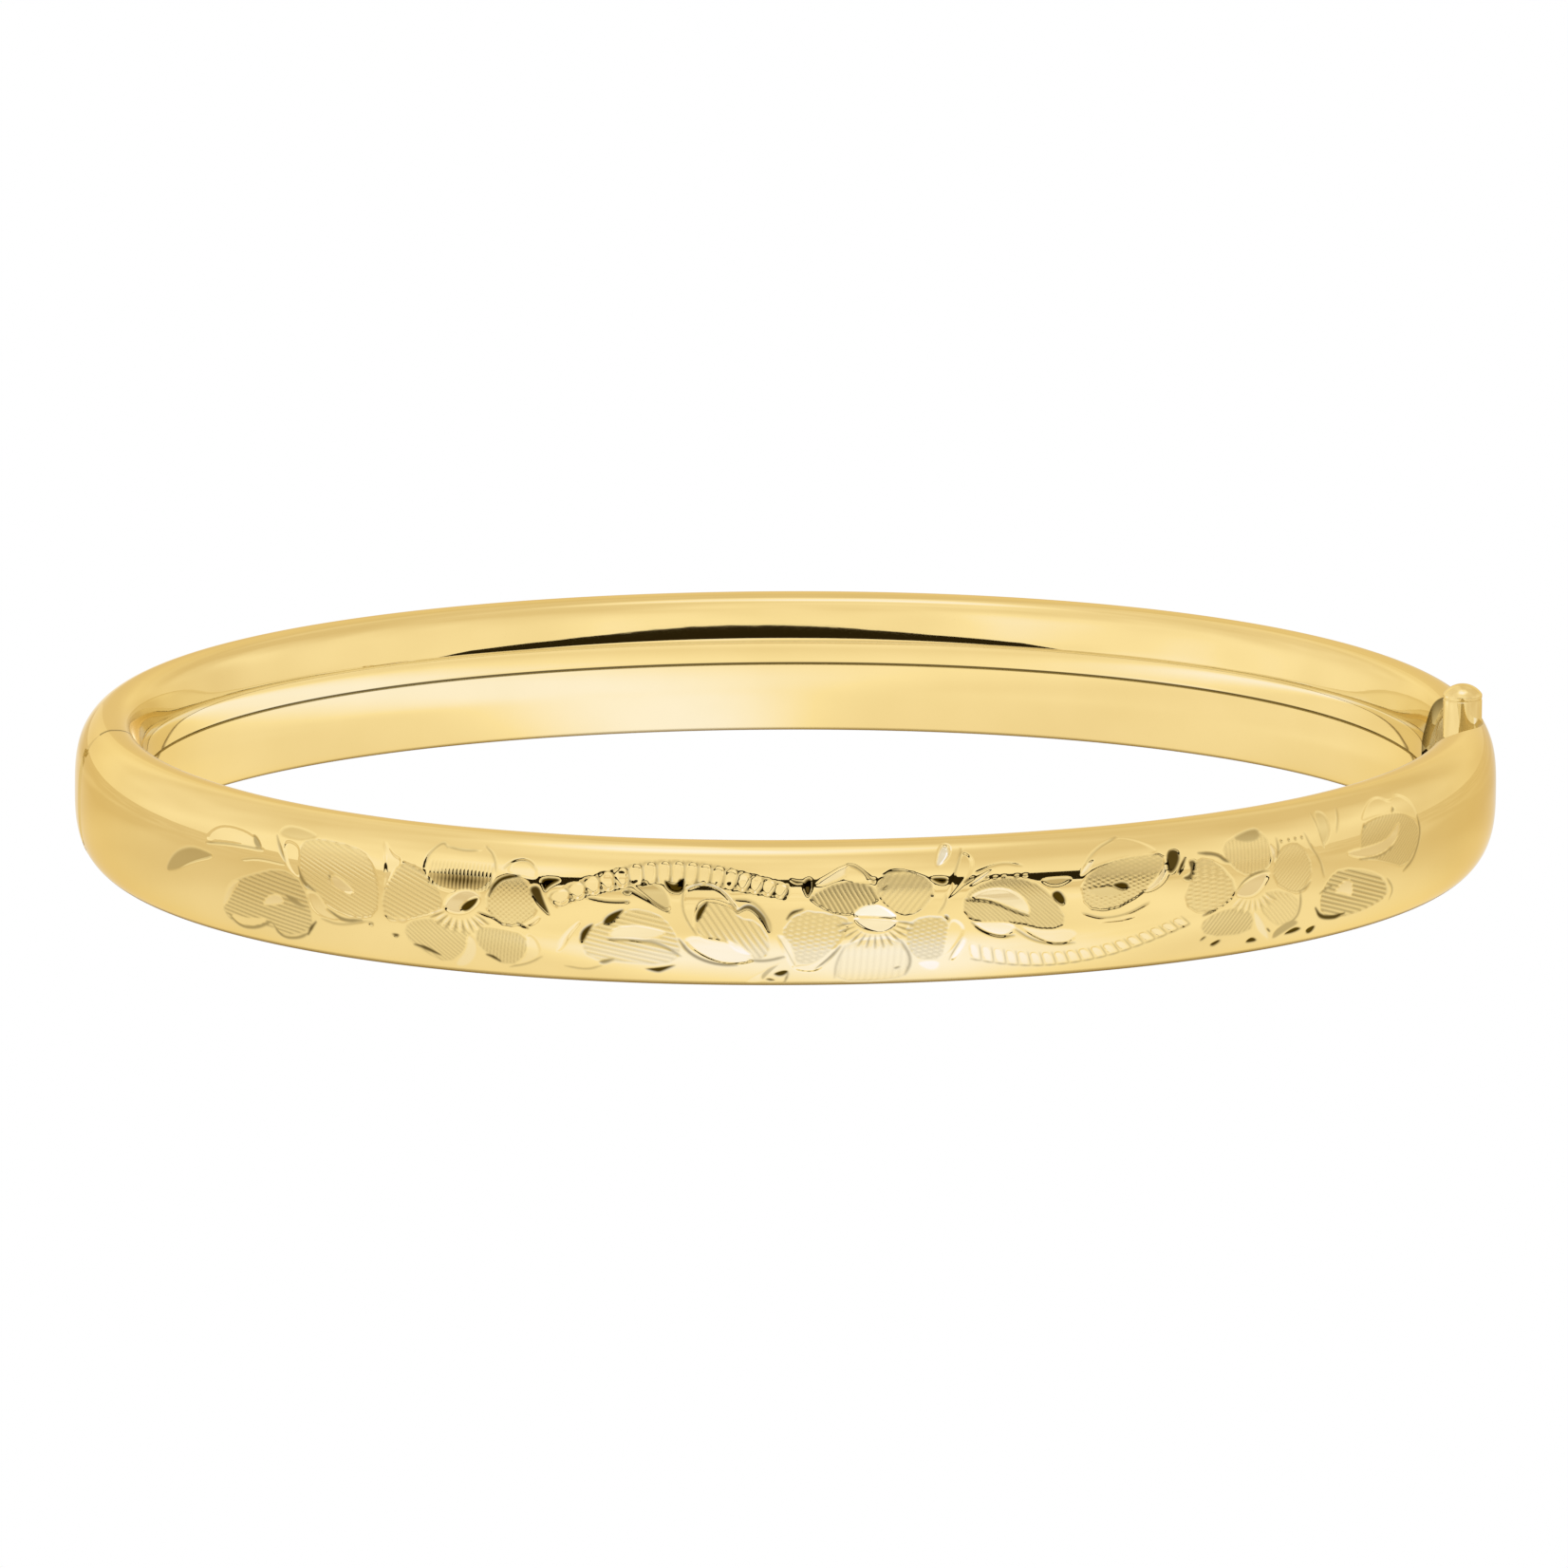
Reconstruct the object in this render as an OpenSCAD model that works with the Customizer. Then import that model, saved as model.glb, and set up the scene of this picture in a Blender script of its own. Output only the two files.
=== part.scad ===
// Hinged oval bangle: two hollow half bands, a concealed pin hinge at one end
// and a sprung thumb-button catch at the other.
// The origin is in the middle of the oval, at the level of the lower rim.
// +X points to the clasp, -Y is the ornamented front half, +Z is up through the wrist.

/* [Band] */
// Height of the band from rim to rim
band_w = 6.5; // [6.3:0.1:6.8]
// Thickness of the band from its inner face to its outer crown
band_t = 3; // [2.95:0.05:3.1]
// Half the length of the oval opening
oval_a = 29.4; // [29:0.1:30]
// Half the width of the oval opening
oval_b = 25.5; // [25.2:0.1:25.8]
// Radius of the inner face round each end of the oval
end_r = 24.5; // [24.2:0.1:24.8]
// Distance of the two rims from the inner face
crown = 1.53; // [1.4:0.01:1.6]
// Thickness of the sheet that the tubes are rolled from
wall = 0.35; // [0.3:0.01:0.4]
// Width of the rolled tube's seam along the middle of the inner face
seam_w = 0.14; // [0.1:0.01:0.2]

/* [Hinge] */
// Widest opening of the front half, in degrees
open_angle = 50; // [30:1:55]
// Distance of the pin's axis from the outer crown
hinge_inset = 0.95; // [0.9:0.01:1]
// Radius of the three knuckles
knuckle_r = 0.72; // [0.65:0.01:0.75]
// Half the height of the row of knuckles
knuckle_row = 2.1; // [2:0.1:2.2]
// Radius of the pin
pin_r = 0.35; // [0.3:0.01:0.4]

/* [Clasp] */
// Radius of the thumb button
button_r = 0.83; // [0.75:0.01:0.85]
// Height of the button's top above the rim
button_rise = 0.92; // [0.5:0.01:0.95]
// Distance of the button's axis from the inner face of the band
button_off = 1.7; // [1.65:0.01:1.85]
// Distance of the button's axis behind the seam
button_back = 1.45; // [1.4:0.05:1.5]
// Length of the tongue past the seam
tongue_l = 4.6; // [4.4:0.1:4.8]
// Radius of the scooped thumb rest
scoop_r = 16; // [15:0.5:18]

/* [Hidden] */
$fn = 64;

// Plan: four arcs that run into each other, the inner faces of an oval ring.
end_x = oval_a - end_r;
side_r = (end_x * end_x + oval_b * oval_b - end_r * end_r) / (2 * (oval_b - end_r));
side_y = side_r - oval_b;
end_sweep = atan2(side_y, end_x);

// Section: a nearly flat inner face with soft corners and a domed outer face.
half_w = band_w / 2;
section_steps = 12;
inner_power = 6;
inner_round = 1 / 1.56;
outer_power = 3.05;
outer_round = 1 / 1.71;
function inner_off(h, inset) =
    inset + (crown - inset) * (1 - pow(1 - pow(abs(h), inner_power), inner_round));
function outer_off(h, inset) =
    crown + (band_t - crown - inset) * pow(1 - pow(abs(h), outer_power), outer_round);
function section(inset) = concat(
    [for (i = [-section_steps:section_steps])
        let (h = sin(90 * i / section_steps)) [inner_off(h, inset), h * (half_w - inset)]],
    [for (i = [section_steps - 1:-1:1 - section_steps])
        let (h = sin(90 * i / section_steps)) [outer_off(h, inset), h * (half_w - inset)]]);

seam_depth = 0.12;
collar_l = 0.5;
collar_proud = 0.01;
joint_gap = 0.02;
solder_gap = 0.02;
plug_inset = wall + solder_gap;
crown_r = end_r + crown;

hinge_x = -(oval_a + band_t - hinge_inset);
knuckle_gap = 0.04;
knuckle_third = (2 * knuckle_row - 2 * knuckle_gap) / 3;
middle_half = knuckle_third / 2;
pocket_r = knuckle_r + 0.1;
pocket_h = knuckle_row + 0.25;
pin_clear = 0.03;
rivet_r = 0.5;
rivet_t = 0.12;
mitre_angle = open_angle / 2 + 1;
cap_t = 0.95;
flange_lo = hinge_x - 0.18;
flange_w = 0.68;
flange_l = 1.6;

button_x = oval_a + button_off;
button_y = -button_back;
scoop_tilt = 40;
scoop_point = [oval_a + 1.68, 0, 1.79];
notch_r = button_r + 0.1;
notch_floor = 1.05;
plate_y = 0.05;
plate_t = 0.85;
leaf_t = 0.25;
blade_t = 0.3;
blade_z = -1.3;
tongue_x0 = oval_a + 0.9;
tongue_w = 1.1;
fold_r = 0.13;
fold_z = -0.83;
shoulder_y = -1.2;
neck_end = button_y + 0.5;
neck_z = 0.05;
neck_w = 0.7;
stem_r = 0.33;
barrel_z = 1.7;
barrel_top = half_w + 0.25;
cap_top = half_w + button_rise;
catch_z = -0.08;
bulkhead_y = 10.2;

gold = [0.93, 0.8, 0.5];
pale_gold = [0.97, 0.87, 0.6];
deep_gold = [0.8, 0.66, 0.36];

// Sweeps the tube's wall along the whole front half of the oval, from seam to seam. The arcs
// stop just short of each other, and a short collar, barely proud of them, joins each pair.
module front_sweep() {
    trim = 0.1;
    for (side = [0, 1])
        mirror([side, 0, 0])
            translate([end_x, 0, 0])
                rotate(-end_sweep) {
                    rotate(trim) rotate_extrude(angle = end_sweep - trim)
                        translate([end_r, 0]) tube_profile();
                    translate([end_r, 0, 0])
                        rotate([90, 0, 0])
                            linear_extrude(collar_l, center = true) collar_profile();
                }
    translate([0, side_y, 0])
        rotate(180 + end_sweep + trim)
            rotate_extrude(angle = 180 - 2 * end_sweep - 2 * trim)
                translate([side_r, 0]) tube_profile();
}

// Sweeps the section along a short run of the clasp end, between two depths behind the seam.
module plug(y0, y1, inset) {
    a0 = asin(y0 / crown_r);
    a1 = asin(y1 / crown_r);
    translate([end_x, 0, 0])
        rotate(-a1)
            rotate_extrude(angle = a1 - a0)
                translate([end_r, 0]) polygon(section(inset));
}

// Wall of the rolled tube, with the seam along its inner face.
module tube_profile() {
    difference() {
        polygon(section(0));
        polygon(section(wall));
        translate([-0.1, -seam_w / 2]) square([0.1 + seam_depth, seam_w]);
    }
}

module collar_profile() {
    difference() {
        polygon(section(-collar_proud));
        polygon(section(wall + collar_proud));
    }
}

module seam_cut() {
    translate([-2 * oval_a, -joint_gap, -2 * band_w])
        cube([4 * oval_a, 2 * joint_gap, 4 * band_w]);
}

// Room for the knuckles, and the mitre outside the pin that lets the halves open.
module hinge_relief() {
    reach = 2 * band_t;
    translate([hinge_x, 0, -pocket_h]) cylinder(r = pocket_r, h = 2 * pocket_h);
    translate([0, 0, -band_w])
        linear_extrude(2 * band_w)
            polygon([[hinge_x, 0],
                     [hinge_x - reach, reach * tan(mitre_angle)],
                     [hinge_x - reach, -reach * tan(mitre_angle)]]);
}

// Scooped rest that lets the thumb push the button below the rim.
module thumb_scoop() {
    translate(scoop_point)
        rotate([0, -scoop_tilt, 0])
            translate([-2 * band_t, 0, scoop_r])
                rotate([0, 90, 0]) cylinder(r = scoop_r, h = 4 * band_t, $fn = 128);
}

// Slot that the button stands in, open towards the seam.
module button_notch() {
    translate([button_x, button_y, notch_floor]) cylinder(r = notch_r, h = band_w);
    translate([button_x - notch_r, button_y, notch_floor])
        cube([2 * notch_r, 2 * button_back, band_w]);
}

// Flange that ties a knuckle into the end of its half band.
module flange(z0, h, clear) {
    translate([flange_lo - clear, -flange_l - clear, z0 - clear])
        cube([flange_w + 2 * clear, flange_l + clear, h + 2 * clear]);
}

module knuckle(z0, h, bore_r, toward) {
    difference() {
        union() {
            translate([hinge_x, 0, z0]) cylinder(r = knuckle_r, h = h);
            mirror([0, toward, 0]) flange(z0, h, 0);
        }
        translate([hinge_x, 0, z0 - 1]) cylinder(r = bore_r, h = h + 2);
    }
}

module hinge_cap() {
    difference() {
        mirror([1, 0, 0]) plug(plate_y, cap_t, plug_inset);
        hinge_relief();
    }
}

module back_tube() {
    color(gold)
        difference() {
            mirror([0, 1, 0]) front_sweep();
            hinge_relief();
            seam_cut();
        }
}

module back_hinge_cap() {
    color(deep_gold)
        mirror([0, 1, 0])
            difference() {
                hinge_cap();
                flange(-knuckle_row, knuckle_third, solder_gap);
                flange(knuckle_row - knuckle_third, knuckle_third, solder_gap);
            }
}

module upper_knuckle() {
    color(pale_gold) knuckle(knuckle_row - knuckle_third, knuckle_third, pin_r, 1);
}

module lower_knuckle() {
    color(pale_gold) knuckle(-knuckle_row, knuckle_third, pin_r, 1);
}

module hinge_pin() {
    color(deep_gold)
        translate([hinge_x, 0, 0]) {
            translate([0, 0, -knuckle_row]) cylinder(r = pin_r, h = 2 * knuckle_row);
            translate([0, 0, knuckle_row]) cylinder(r = rivet_r, h = rivet_t);
            translate([0, 0, -knuckle_row - rivet_t]) cylinder(r = rivet_r, h = rivet_t);
        }
}

// Closes the back half: a plate set inside the tube with a raised face at the seam.
module back_end_plate() {
    plate_in = 0.3;
    color(pale_gold)
        mirror([0, 1, 0])
            difference() {
                union() {
                    plug(plate_in, plate_in + plate_t, plug_inset);
                    plug(plate_y, plate_in + 0.1, plug_inset + 0.3);
                }
                translate([tongue_x0 - solder_gap, -3, blade_z - solder_gap])
                    cube([tongue_w + 2 * solder_gap, 6, blade_t + 2 * solder_gap]);
            }
}

module tongue_blade() {
    root = 1.6;
    color(gold)
        translate([tongue_x0, -tongue_l, blade_z])
            cube([tongue_w, tongue_l + root, blade_t]);
}

module front_tube() {
    color(gold)
        difference() {
            front_sweep();
            hinge_relief();
            seam_cut();
            thumb_scoop();
            button_notch();
        }
}

module front_hinge_cap() {
    color(deep_gold)
        difference() {
            hinge_cap();
            flange(-middle_half, knuckle_third, solder_gap);
        }
}

module middle_knuckle() {
    color(pale_gold) knuckle(-middle_half, knuckle_third, pin_r + pin_clear, 0);
}

// End of the front half: a window for the tongue and two ears that the spring leaf catches.
module mouth_plate() {
    window_x = tongue_x0 - 0.2;
    window_w = tongue_w + 0.55;
    window_z = blade_z - 0.2;
    slot_w = neck_w + 0.3;
    color(pale_gold)
        difference() {
            plug(plate_y, plate_y + plate_t, plug_inset);
            translate([window_x, -2, window_z]) cube([window_w, 3, catch_z - window_z]);
            translate([button_x - slot_w / 2, -2, window_z]) cube([slot_w, 3, band_w]);
            button_notch();
            thumb_scoop();
        }
}

module guide_shelf() {
    shelf_t = 0.22;
    shelf_gap = 0.06;
    color(deep_gold)
        translate([tongue_x0, -tongue_l - 0.3, blade_z - shelf_gap - shelf_t])
            cube([tongue_w, tongue_l + 0.3 - plate_y - plate_t - 0.05, shelf_t]);
}

module bulkhead() {
    color(deep_gold) plug(bulkhead_y, bulkhead_y + 0.4, plug_inset);
}

// Rising leaf of the tongue: it turns about the fold at the tongue's tip, and its
// wide part snaps up behind the ears of the mouth plate.
module spring_leaf() {
    tip = -tongue_l;
    wide = [[tip, fold_z - fold_r], [shoulder_y, neck_z], [shoulder_y, neck_z + leaf_t],
            [shoulder_y - 0.15, neck_z + leaf_t], [tip, fold_z + fold_r]];
    color(gold) {
        translate([tongue_x0, 0, 0])
            rotate([90, 0, 90]) {
                linear_extrude(tongue_w) polygon(wide);
                translate([tip, fold_z, 0]) cylinder(r = fold_r, h = tongue_w);
            }
        translate([button_x - neck_w / 2, shoulder_y - 0.1, neck_z])
            cube([neck_w, neck_end - shoulder_y + 0.1, leaf_t]);
    }
}

module button_stem() {
    color(deep_gold)
        translate([button_x, button_y, neck_z + leaf_t])
            cylinder(r = stem_r, h = barrel_z - neck_z - leaf_t);
}

module button_barrel() {
    color(gold)
        translate([button_x, button_y, barrel_z]) cylinder(r = button_r, h = barrel_top - barrel_z);
}

// Domed cap, a slice of a ball over a short rim.
module button_cap() {
    rim = 0.2;
    dome = cap_top - barrel_top - rim;
    ball = (button_r * button_r + dome * dome) / (2 * dome);
    color(pale_gold)
        translate([button_x, button_y, barrel_top])
            intersection() {
                cylinder(r = button_r, h = rim + 2 * dome);
                translate([0, 0, rim + dome - ball]) sphere(r = ball);
            }
}

// Lifts the band so that its lower rim lies at height 0.
module place() {
    translate([0, 0, half_w]) children();
}

place() back_tube();
place() back_hinge_cap();
place() upper_knuckle();
place() lower_knuckle();
place() hinge_pin();
place() back_end_plate();
place() tongue_blade();
place() front_tube();
place() front_hinge_cap();
place() middle_knuckle();
place() mouth_plate();
place() guide_shelf();
place() bulkhead();
place() spring_leaf();
place() button_stem();
place() button_barrel();
place() button_cap();
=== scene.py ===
"""Looks for the hinged oval bangle: engraved front half, plain rolled back half, thumb-button catch.

Lengths below are in millimetres, and MM turns them into the frame's metres. The middle of the
oval is the origin, the lower rim lies at height 0, the clasp is at +X and the ornament at -Y.
"""

import math

import bpy
import numpy as np
from mathutils import Matrix, Vector


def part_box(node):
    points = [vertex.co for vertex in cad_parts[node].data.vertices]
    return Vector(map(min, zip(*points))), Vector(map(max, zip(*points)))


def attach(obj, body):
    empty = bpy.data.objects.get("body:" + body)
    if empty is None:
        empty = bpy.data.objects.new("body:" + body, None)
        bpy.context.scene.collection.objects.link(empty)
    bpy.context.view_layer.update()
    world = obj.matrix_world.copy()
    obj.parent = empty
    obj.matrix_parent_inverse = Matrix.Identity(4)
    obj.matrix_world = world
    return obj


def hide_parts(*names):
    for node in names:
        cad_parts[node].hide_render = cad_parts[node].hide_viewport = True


MM = 0.001
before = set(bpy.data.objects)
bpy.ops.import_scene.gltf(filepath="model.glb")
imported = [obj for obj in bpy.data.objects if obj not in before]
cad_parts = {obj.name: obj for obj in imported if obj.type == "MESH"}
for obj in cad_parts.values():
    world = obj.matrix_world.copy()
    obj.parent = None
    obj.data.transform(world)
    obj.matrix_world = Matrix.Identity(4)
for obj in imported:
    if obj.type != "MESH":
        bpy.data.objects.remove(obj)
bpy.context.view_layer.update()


def box_mm(node):
    """Lowest and highest corner of a CAD node, in millimetres."""
    low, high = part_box(node)
    return low / MM, high / MM


# ---------------------------------------------------------------- driving sizes

tube_low, tube_high = box_mm("front_tube")
BAND_W = tube_high.z - tube_low.z
HALF_W = BAND_W / 2
BAND_T = 3.0
CROWN = 1.53
WALL = 0.35
OVAL_A = tube_high.x - BAND_T
OVAL_B = -tube_low.y - BAND_T
OVAL_FULLNESS = 0.0131
JOINT_GAP = 0.02
JOINT_LINE = 0.05
# Painted shade in a thin line at each end of a half, where the two halves meet.
JOINT_PAINTED_SHADE = -0.7

LAND_HALF = 1.27
LAND_SLOPE = 0.26
LAND_BLEND = 0.22
INNER_POWER = 12
INNER_ROUND = 1 / 3
OUTER_POWER = 3.05
OUTER_ROUND = 1 / 1.71

SEAM_W = 0.12
SEAM_DEPTH = 0.12
SEAM_FLOOR_SHARE = 0.6
SEAM_RISE = 0.15
SEAM_GUARD = 0.02
# Painted shade on the seam groove's points, darkest on its floor.
SEAM_PAINTED_SHADE = [-0.5, -0.8, -0.8, -0.5]

HINGE_INSET = 0.95
HINGE_X = -(OVAL_A + BAND_T - HINGE_INSET)
POCKET_R = 0.82
POCKET_H = 2.35
MITRE_ANGLE = math.radians(26)

barrel_low, barrel_high = box_mm("button_barrel")
cap_low, cap_high = box_mm("button_cap")
BUTTON_SHIFT = 0.1
BUTTON_SWELL = 0.06
BUTTON = (barrel_low + barrel_high) / 2 - Vector((BUTTON_SHIFT, 0, 0))
BUTTON_R = (barrel_high.x - barrel_low.x) / 2 + BUTTON_SWELL
NOTCH_GAP = 0.1
NOTCH_R = BUTTON_R + NOTCH_GAP
NOTCH_FLOOR = HALF_W + 1.05
SCOOP_R = 16
SCOOP_TILT = math.radians(40)
SCOOP_POINT = Vector((OVAL_A + 1.68, 0, HALF_W + 1.79))

ENGRAVED = (-37.0, 31.0)
FINE_STEP = 0.045
PLAIN_STEP = 0.2
OUTER_COLUMNS = 200
INNER_COLUMNS = 60
CAVITY_COLUMNS = 48
CAVITY_ROWS = 240
SHARP_ANGLE = math.radians(32)

# ---------------------------------------------------------------- the oval and its section


def oval(turn):
    """Points of the inner face's oval and the outward normals there; turn is 0 at the front, in radians."""
    phi = turn - math.pi / 2
    swell = 1 + OVAL_FULLNESS * np.sin(2 * phi) ** 2
    swell_rate = 4 * OVAL_FULLNESS * np.sin(2 * phi) * np.cos(2 * phi)
    point = np.stack([OVAL_A * np.cos(phi) * swell, OVAL_B * np.sin(phi) * swell], -1)
    rate = np.stack(
        [
            OVAL_A * (np.cos(phi) * swell_rate - np.sin(phi) * swell),
            OVAL_B * (np.sin(phi) * swell_rate + np.cos(phi) * swell),
        ],
        -1,
    )
    rate /= np.linalg.norm(rate, axis=-1, keepdims=True)
    normal = np.stack([rate[..., 1], -rate[..., 0]], -1)
    return point, normal


def crown_distance():
    """Turns along the front half and the distance of each along the outer crown, 0 at the middle."""
    turn = np.linspace(-math.pi / 2, math.pi / 2, 20001)
    point, normal = oval(turn)
    crown = point + BAND_T * normal
    steps = np.linalg.norm(np.diff(crown, axis=0), axis=1)
    distance = np.concatenate([[0.0], np.cumsum(steps)])
    return turn, distance - distance[len(distance) // 2]


def slope_off(z):
    """How far the inner face slopes away from its flat middle land at the height z."""
    return LAND_SLOPE * (np.hypot(z - LAND_HALF, LAND_BLEND) + z - LAND_HALF) / 2


def inner_off(h, inset=0.0):
    """Distance of the inner face from the oval at the height h, which runs from -1 to 1."""
    land = slope_off(np.abs(h) * HALF_W) - slope_off(0.0)
    land_end = slope_off(HALF_W) - slope_off(0.0)
    corner = 1 - (1 - np.abs(h) ** INNER_POWER) ** INNER_ROUND
    return inset + land + (CROWN - inset - land_end) * corner


def outer_off(h, inset=0.0):
    """Distance of the outer face from the oval at the height h."""
    return CROWN + (BAND_T - CROWN - inset) * (1 - np.abs(h) ** OUTER_POWER) ** OUTER_ROUND


def even(off, columns, inset=0.0):
    """Points (distance, height) from the lower rim to the upper one, evenly spaced along the face."""
    h = np.sin(np.linspace(-math.pi / 2, math.pi / 2, 4001))
    line = np.stack([off(h, inset), h * (HALF_W - inset)], -1)
    walked = np.concatenate([[0.0], np.cumsum(np.linalg.norm(np.diff(line, axis=0), axis=1))])
    wanted = np.linspace(0.0, walked[-1], columns)
    return np.stack([np.interp(wanted, walked, line[:, 0]), np.interp(wanted, walked, line[:, 1])], -1)


def with_seam(line):
    """Adds the rolled tube's seam, a narrow groove along the inner face, and gives the line's points their
    painted shade, darkest on the groove's floor.

    A guard point on each side keeps the smooth shading of the groove's edges out of the flat face.
    """
    half = SEAM_W / 2
    floor_half = SEAM_FLOOR_SHARE * half
    groove = np.array([[0, -half], [SEAM_DEPTH, -floor_half], [SEAM_DEPTH, floor_half], [0, half]])
    groove[:, 1] += SEAM_RISE
    guard = groove[[0, -1], 1] + (-SEAM_GUARD, SEAM_GUARD)
    guard = np.stack([np.interp(guard, line[:, 1], line[:, 0]), guard], axis=1)
    below = line[line[:, 1] < guard[0, 1] - SEAM_GUARD]
    above = line[line[:, 1] > guard[1, 1] + SEAM_GUARD]
    tone = np.concatenate([np.zeros(len(below) + 1), SEAM_PAINTED_SHADE, np.zeros(len(above) + 1)])
    return np.concatenate([below, guard[:1], groove, guard[1:], above]), tone


def line_normals(line):
    """Unit normals of a (distance, height) line, to its right as it rises."""
    rate = np.gradient(line, axis=0)
    rate /= np.linalg.norm(rate, axis=1, keepdims=True)
    return np.stack([rate[:, 1], -rate[:, 0]], -1)


# ---------------------------------------------------------------- engraving


def rounded(corners, closed, times=2):
    """Cuts every corner of a line the given number of times, which leaves a smooth curve."""
    points = np.array(corners, float)
    for _ in range(times):
        after = np.roll(points, -1, axis=0) if closed else points[1:]
        before = points if closed else points[:-1]
        pairs = np.stack([0.75 * before + 0.25 * after, 0.25 * before + 0.75 * after], 1).reshape(-1, 2)
        points = pairs if closed else np.concatenate([points[:1], pairs, points[-1:]])
    return points


class Engraving:
    """Depth, painted shade and highlight, and dullness of every cut over the front's outer face.

    s runs towards the clasp and z up from mid-height. The painted light is -1 for the darkest painted
    shade in the cuts and 1 for the brightest painted highlight on the facets. A later cut goes over the
    earlier ones, and its edge blends in over SOFT. SHOULDER is the height of the outer face's upper
    shoulder.
    """

    SOFT = 0.06
    SUNK = 0.015
    PIT_DEPTH = 0.05
    MARGIN = 0.15
    STEEPEST = (0.5, 0.35)
    OUTLINE_W = 0.05
    OUTLINE_DEPTH = 0.01
    OUTLINE_PAINTED_SHADE = -0.22
    FIELD_MATT = 0.7
    SHOULDER = 1.65
    SHOULDER_TOP = 1.8
    SHOULDER_W = 0.35
    SHOULDER_MATT = 1.2

    def __init__(self, s, z):
        self.s, self.z = s, z
        self.depth = np.zeros((len(s), len(z)))
        self.tone = np.zeros((len(s), len(z)))
        self.matt = np.zeros((len(s), len(z)))

    def window(self, points, margin):
        """The part of the grid round the points, and its distances and heights."""
        low, high = points.min(axis=0) - margin, points.max(axis=0) + margin
        rows = slice(*np.searchsorted(self.s, (low[0], high[0])))
        columns = slice(*np.searchsorted(self.z, (low[1], high[1])))
        return (rows, columns), self.s[rows, None], self.z[None, columns]

    def distance(self, points, closed, margin):
        """A window and the distance in it to a line, which counts as negative inside a closed one."""
        place, s, z = self.window(points, margin)
        nearest = np.full((s.shape[0], z.shape[1]), 9.0)
        inside = np.zeros(nearest.shape, bool)
        ends = np.roll(points, -1, axis=0) if closed else points[1:]
        for (s1, z1), (s2, z2) in zip(points, ends):
            run, rise = s2 - s1, z2 - z1
            share = np.clip(((s - s1) * run + (z - z1) * rise) / (run**2 + rise**2 + 1e-9), 0, 1)
            nearest = np.minimum(nearest, np.hypot(s - s1 - share * run, z - z1 - share * rise))
            if closed and z1 != z2:
                inside ^= ((z1 > z) != (z2 > z)) & (s < run * (z - z1) / rise + s1)
        return place, np.where(inside, -nearest, nearest), s, z

    def blend(self, place, share, depth, tone, matt=0.0):
        """Lays a cut over the earlier ones, by its share at each point."""
        for layer, value in ((self.depth, depth), (self.tone, tone), (self.matt, matt)):
            layer[place] = layer[place] * (1 - share) + value * share

    def lines(self, s, z, angle, pitch):
        """Fine parallel graver lines, as a saw-toothed share of their depth."""
        turn = math.radians(angle)
        across = s * math.sin(turn) - z * math.cos(turn)
        return np.abs(2 * np.mod(across / pitch, 1.0) - 1)

    def field(self, corners, angle, cross=None, pitch=0.2, depth=0.02, shade=0.15, times=1):
        """Area of fine lines within a softened outline, sunk a little and edged with a thin line, with
        painted shade in the lines and along the edge.

        The lines are lighter and duller over the face's upper shoulder.
        """
        place, away, s, z = self.distance(rounded(corners, True, times), True, self.MARGIN)
        share = self.lines(s, z, angle, pitch)
        if cross is not None:
            share = np.maximum(share, self.lines(s, z, cross, pitch))
        edge = np.clip(1 - np.abs(away + 0.04) / self.OUTLINE_W, 0, 1)
        # Painted shade, deepest along the graver lines, and a painted dark outline.
        tone = -shade * (0.1 + 1.9 * share**2) * (1 - edge) + self.OUTLINE_PAINTED_SHADE * edge
        shoulder = np.exp(-(((z - self.SHOULDER) / self.SHOULDER_W) ** 2))
        cut = self.SUNK + (depth * share + self.OUTLINE_DEPTH * edge) * (1 - 0.6 * shoulder)
        matt = self.FIELD_MATT + self.SHOULDER_MATT * shoulder
        self.blend(place, np.clip(-away / self.SOFT, 0, 1), cut, tone, matt)

    def facet(self, tone, corners, tilt=(0.0, 0.1), deep=SUNK, times=2):
        """Smooth bright-cut plane, which sinks towards +s and +z, by the shares in tilt of the steepest; its
        first value paints a highlight above 0 and shade below 0.
        """
        points = rounded(corners, True, times)
        tilt = np.array(tilt) * self.STEEPEST
        place, away, s, z = self.distance(points, True, self.MARGIN)
        slope = (s - points[:, 0].mean()) * tilt[0] + (z - points[:, 1].mean()) * tilt[1]
        reach = np.abs((points - points.mean(axis=0)) @ tilt).max()
        self.blend(place, np.clip(-away / self.SOFT, 0, 1), deep + reach + slope, tone)

    def pit(self, *corners, tone=-1.0):
        """Deep cut, darkened with painted shade."""
        self.facet(tone, corners, tilt=(0.0, 0.0), deep=self.PIT_DEPTH)

    def stroke(self, tone, *points, width=0.1, depth=0.02):
        """Curved graver line, which thins out towards both its ends; its first value paints shade along it
        below 0 and a highlight above 0.
        """
        line = rounded(points, False)
        place, away, s, z = self.distance(line, False, width)
        from_start = np.hypot(s - line[0, 0], z - line[0, 1])
        from_end = np.hypot(s - line[-1, 0], z - line[-1, 1])
        ends = np.minimum(from_start, from_end)
        half = 0.5 * width * np.clip(0.35 + 0.65 * ends / (3 * width), 0, 1)
        share = np.clip((half - away) / 0.04 + 0.5, 0, 1)
        self.depth[place] += depth * share
        self.tone[place] = self.tone[place] * (1 - share) + tone * share

    def fan(self, tone, eye, angles, start, length, width=0.1):
        """Short strokes that fan out from a flower's eye, with angles in degrees from +s."""
        for angle in angles:
            turn = math.radians(angle)
            way = np.array([math.cos(turn), 0.75 * math.sin(turn)])
            base = np.array(eye) + way * start
            self.stroke(tone, base, base + way * length, width=width)

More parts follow.
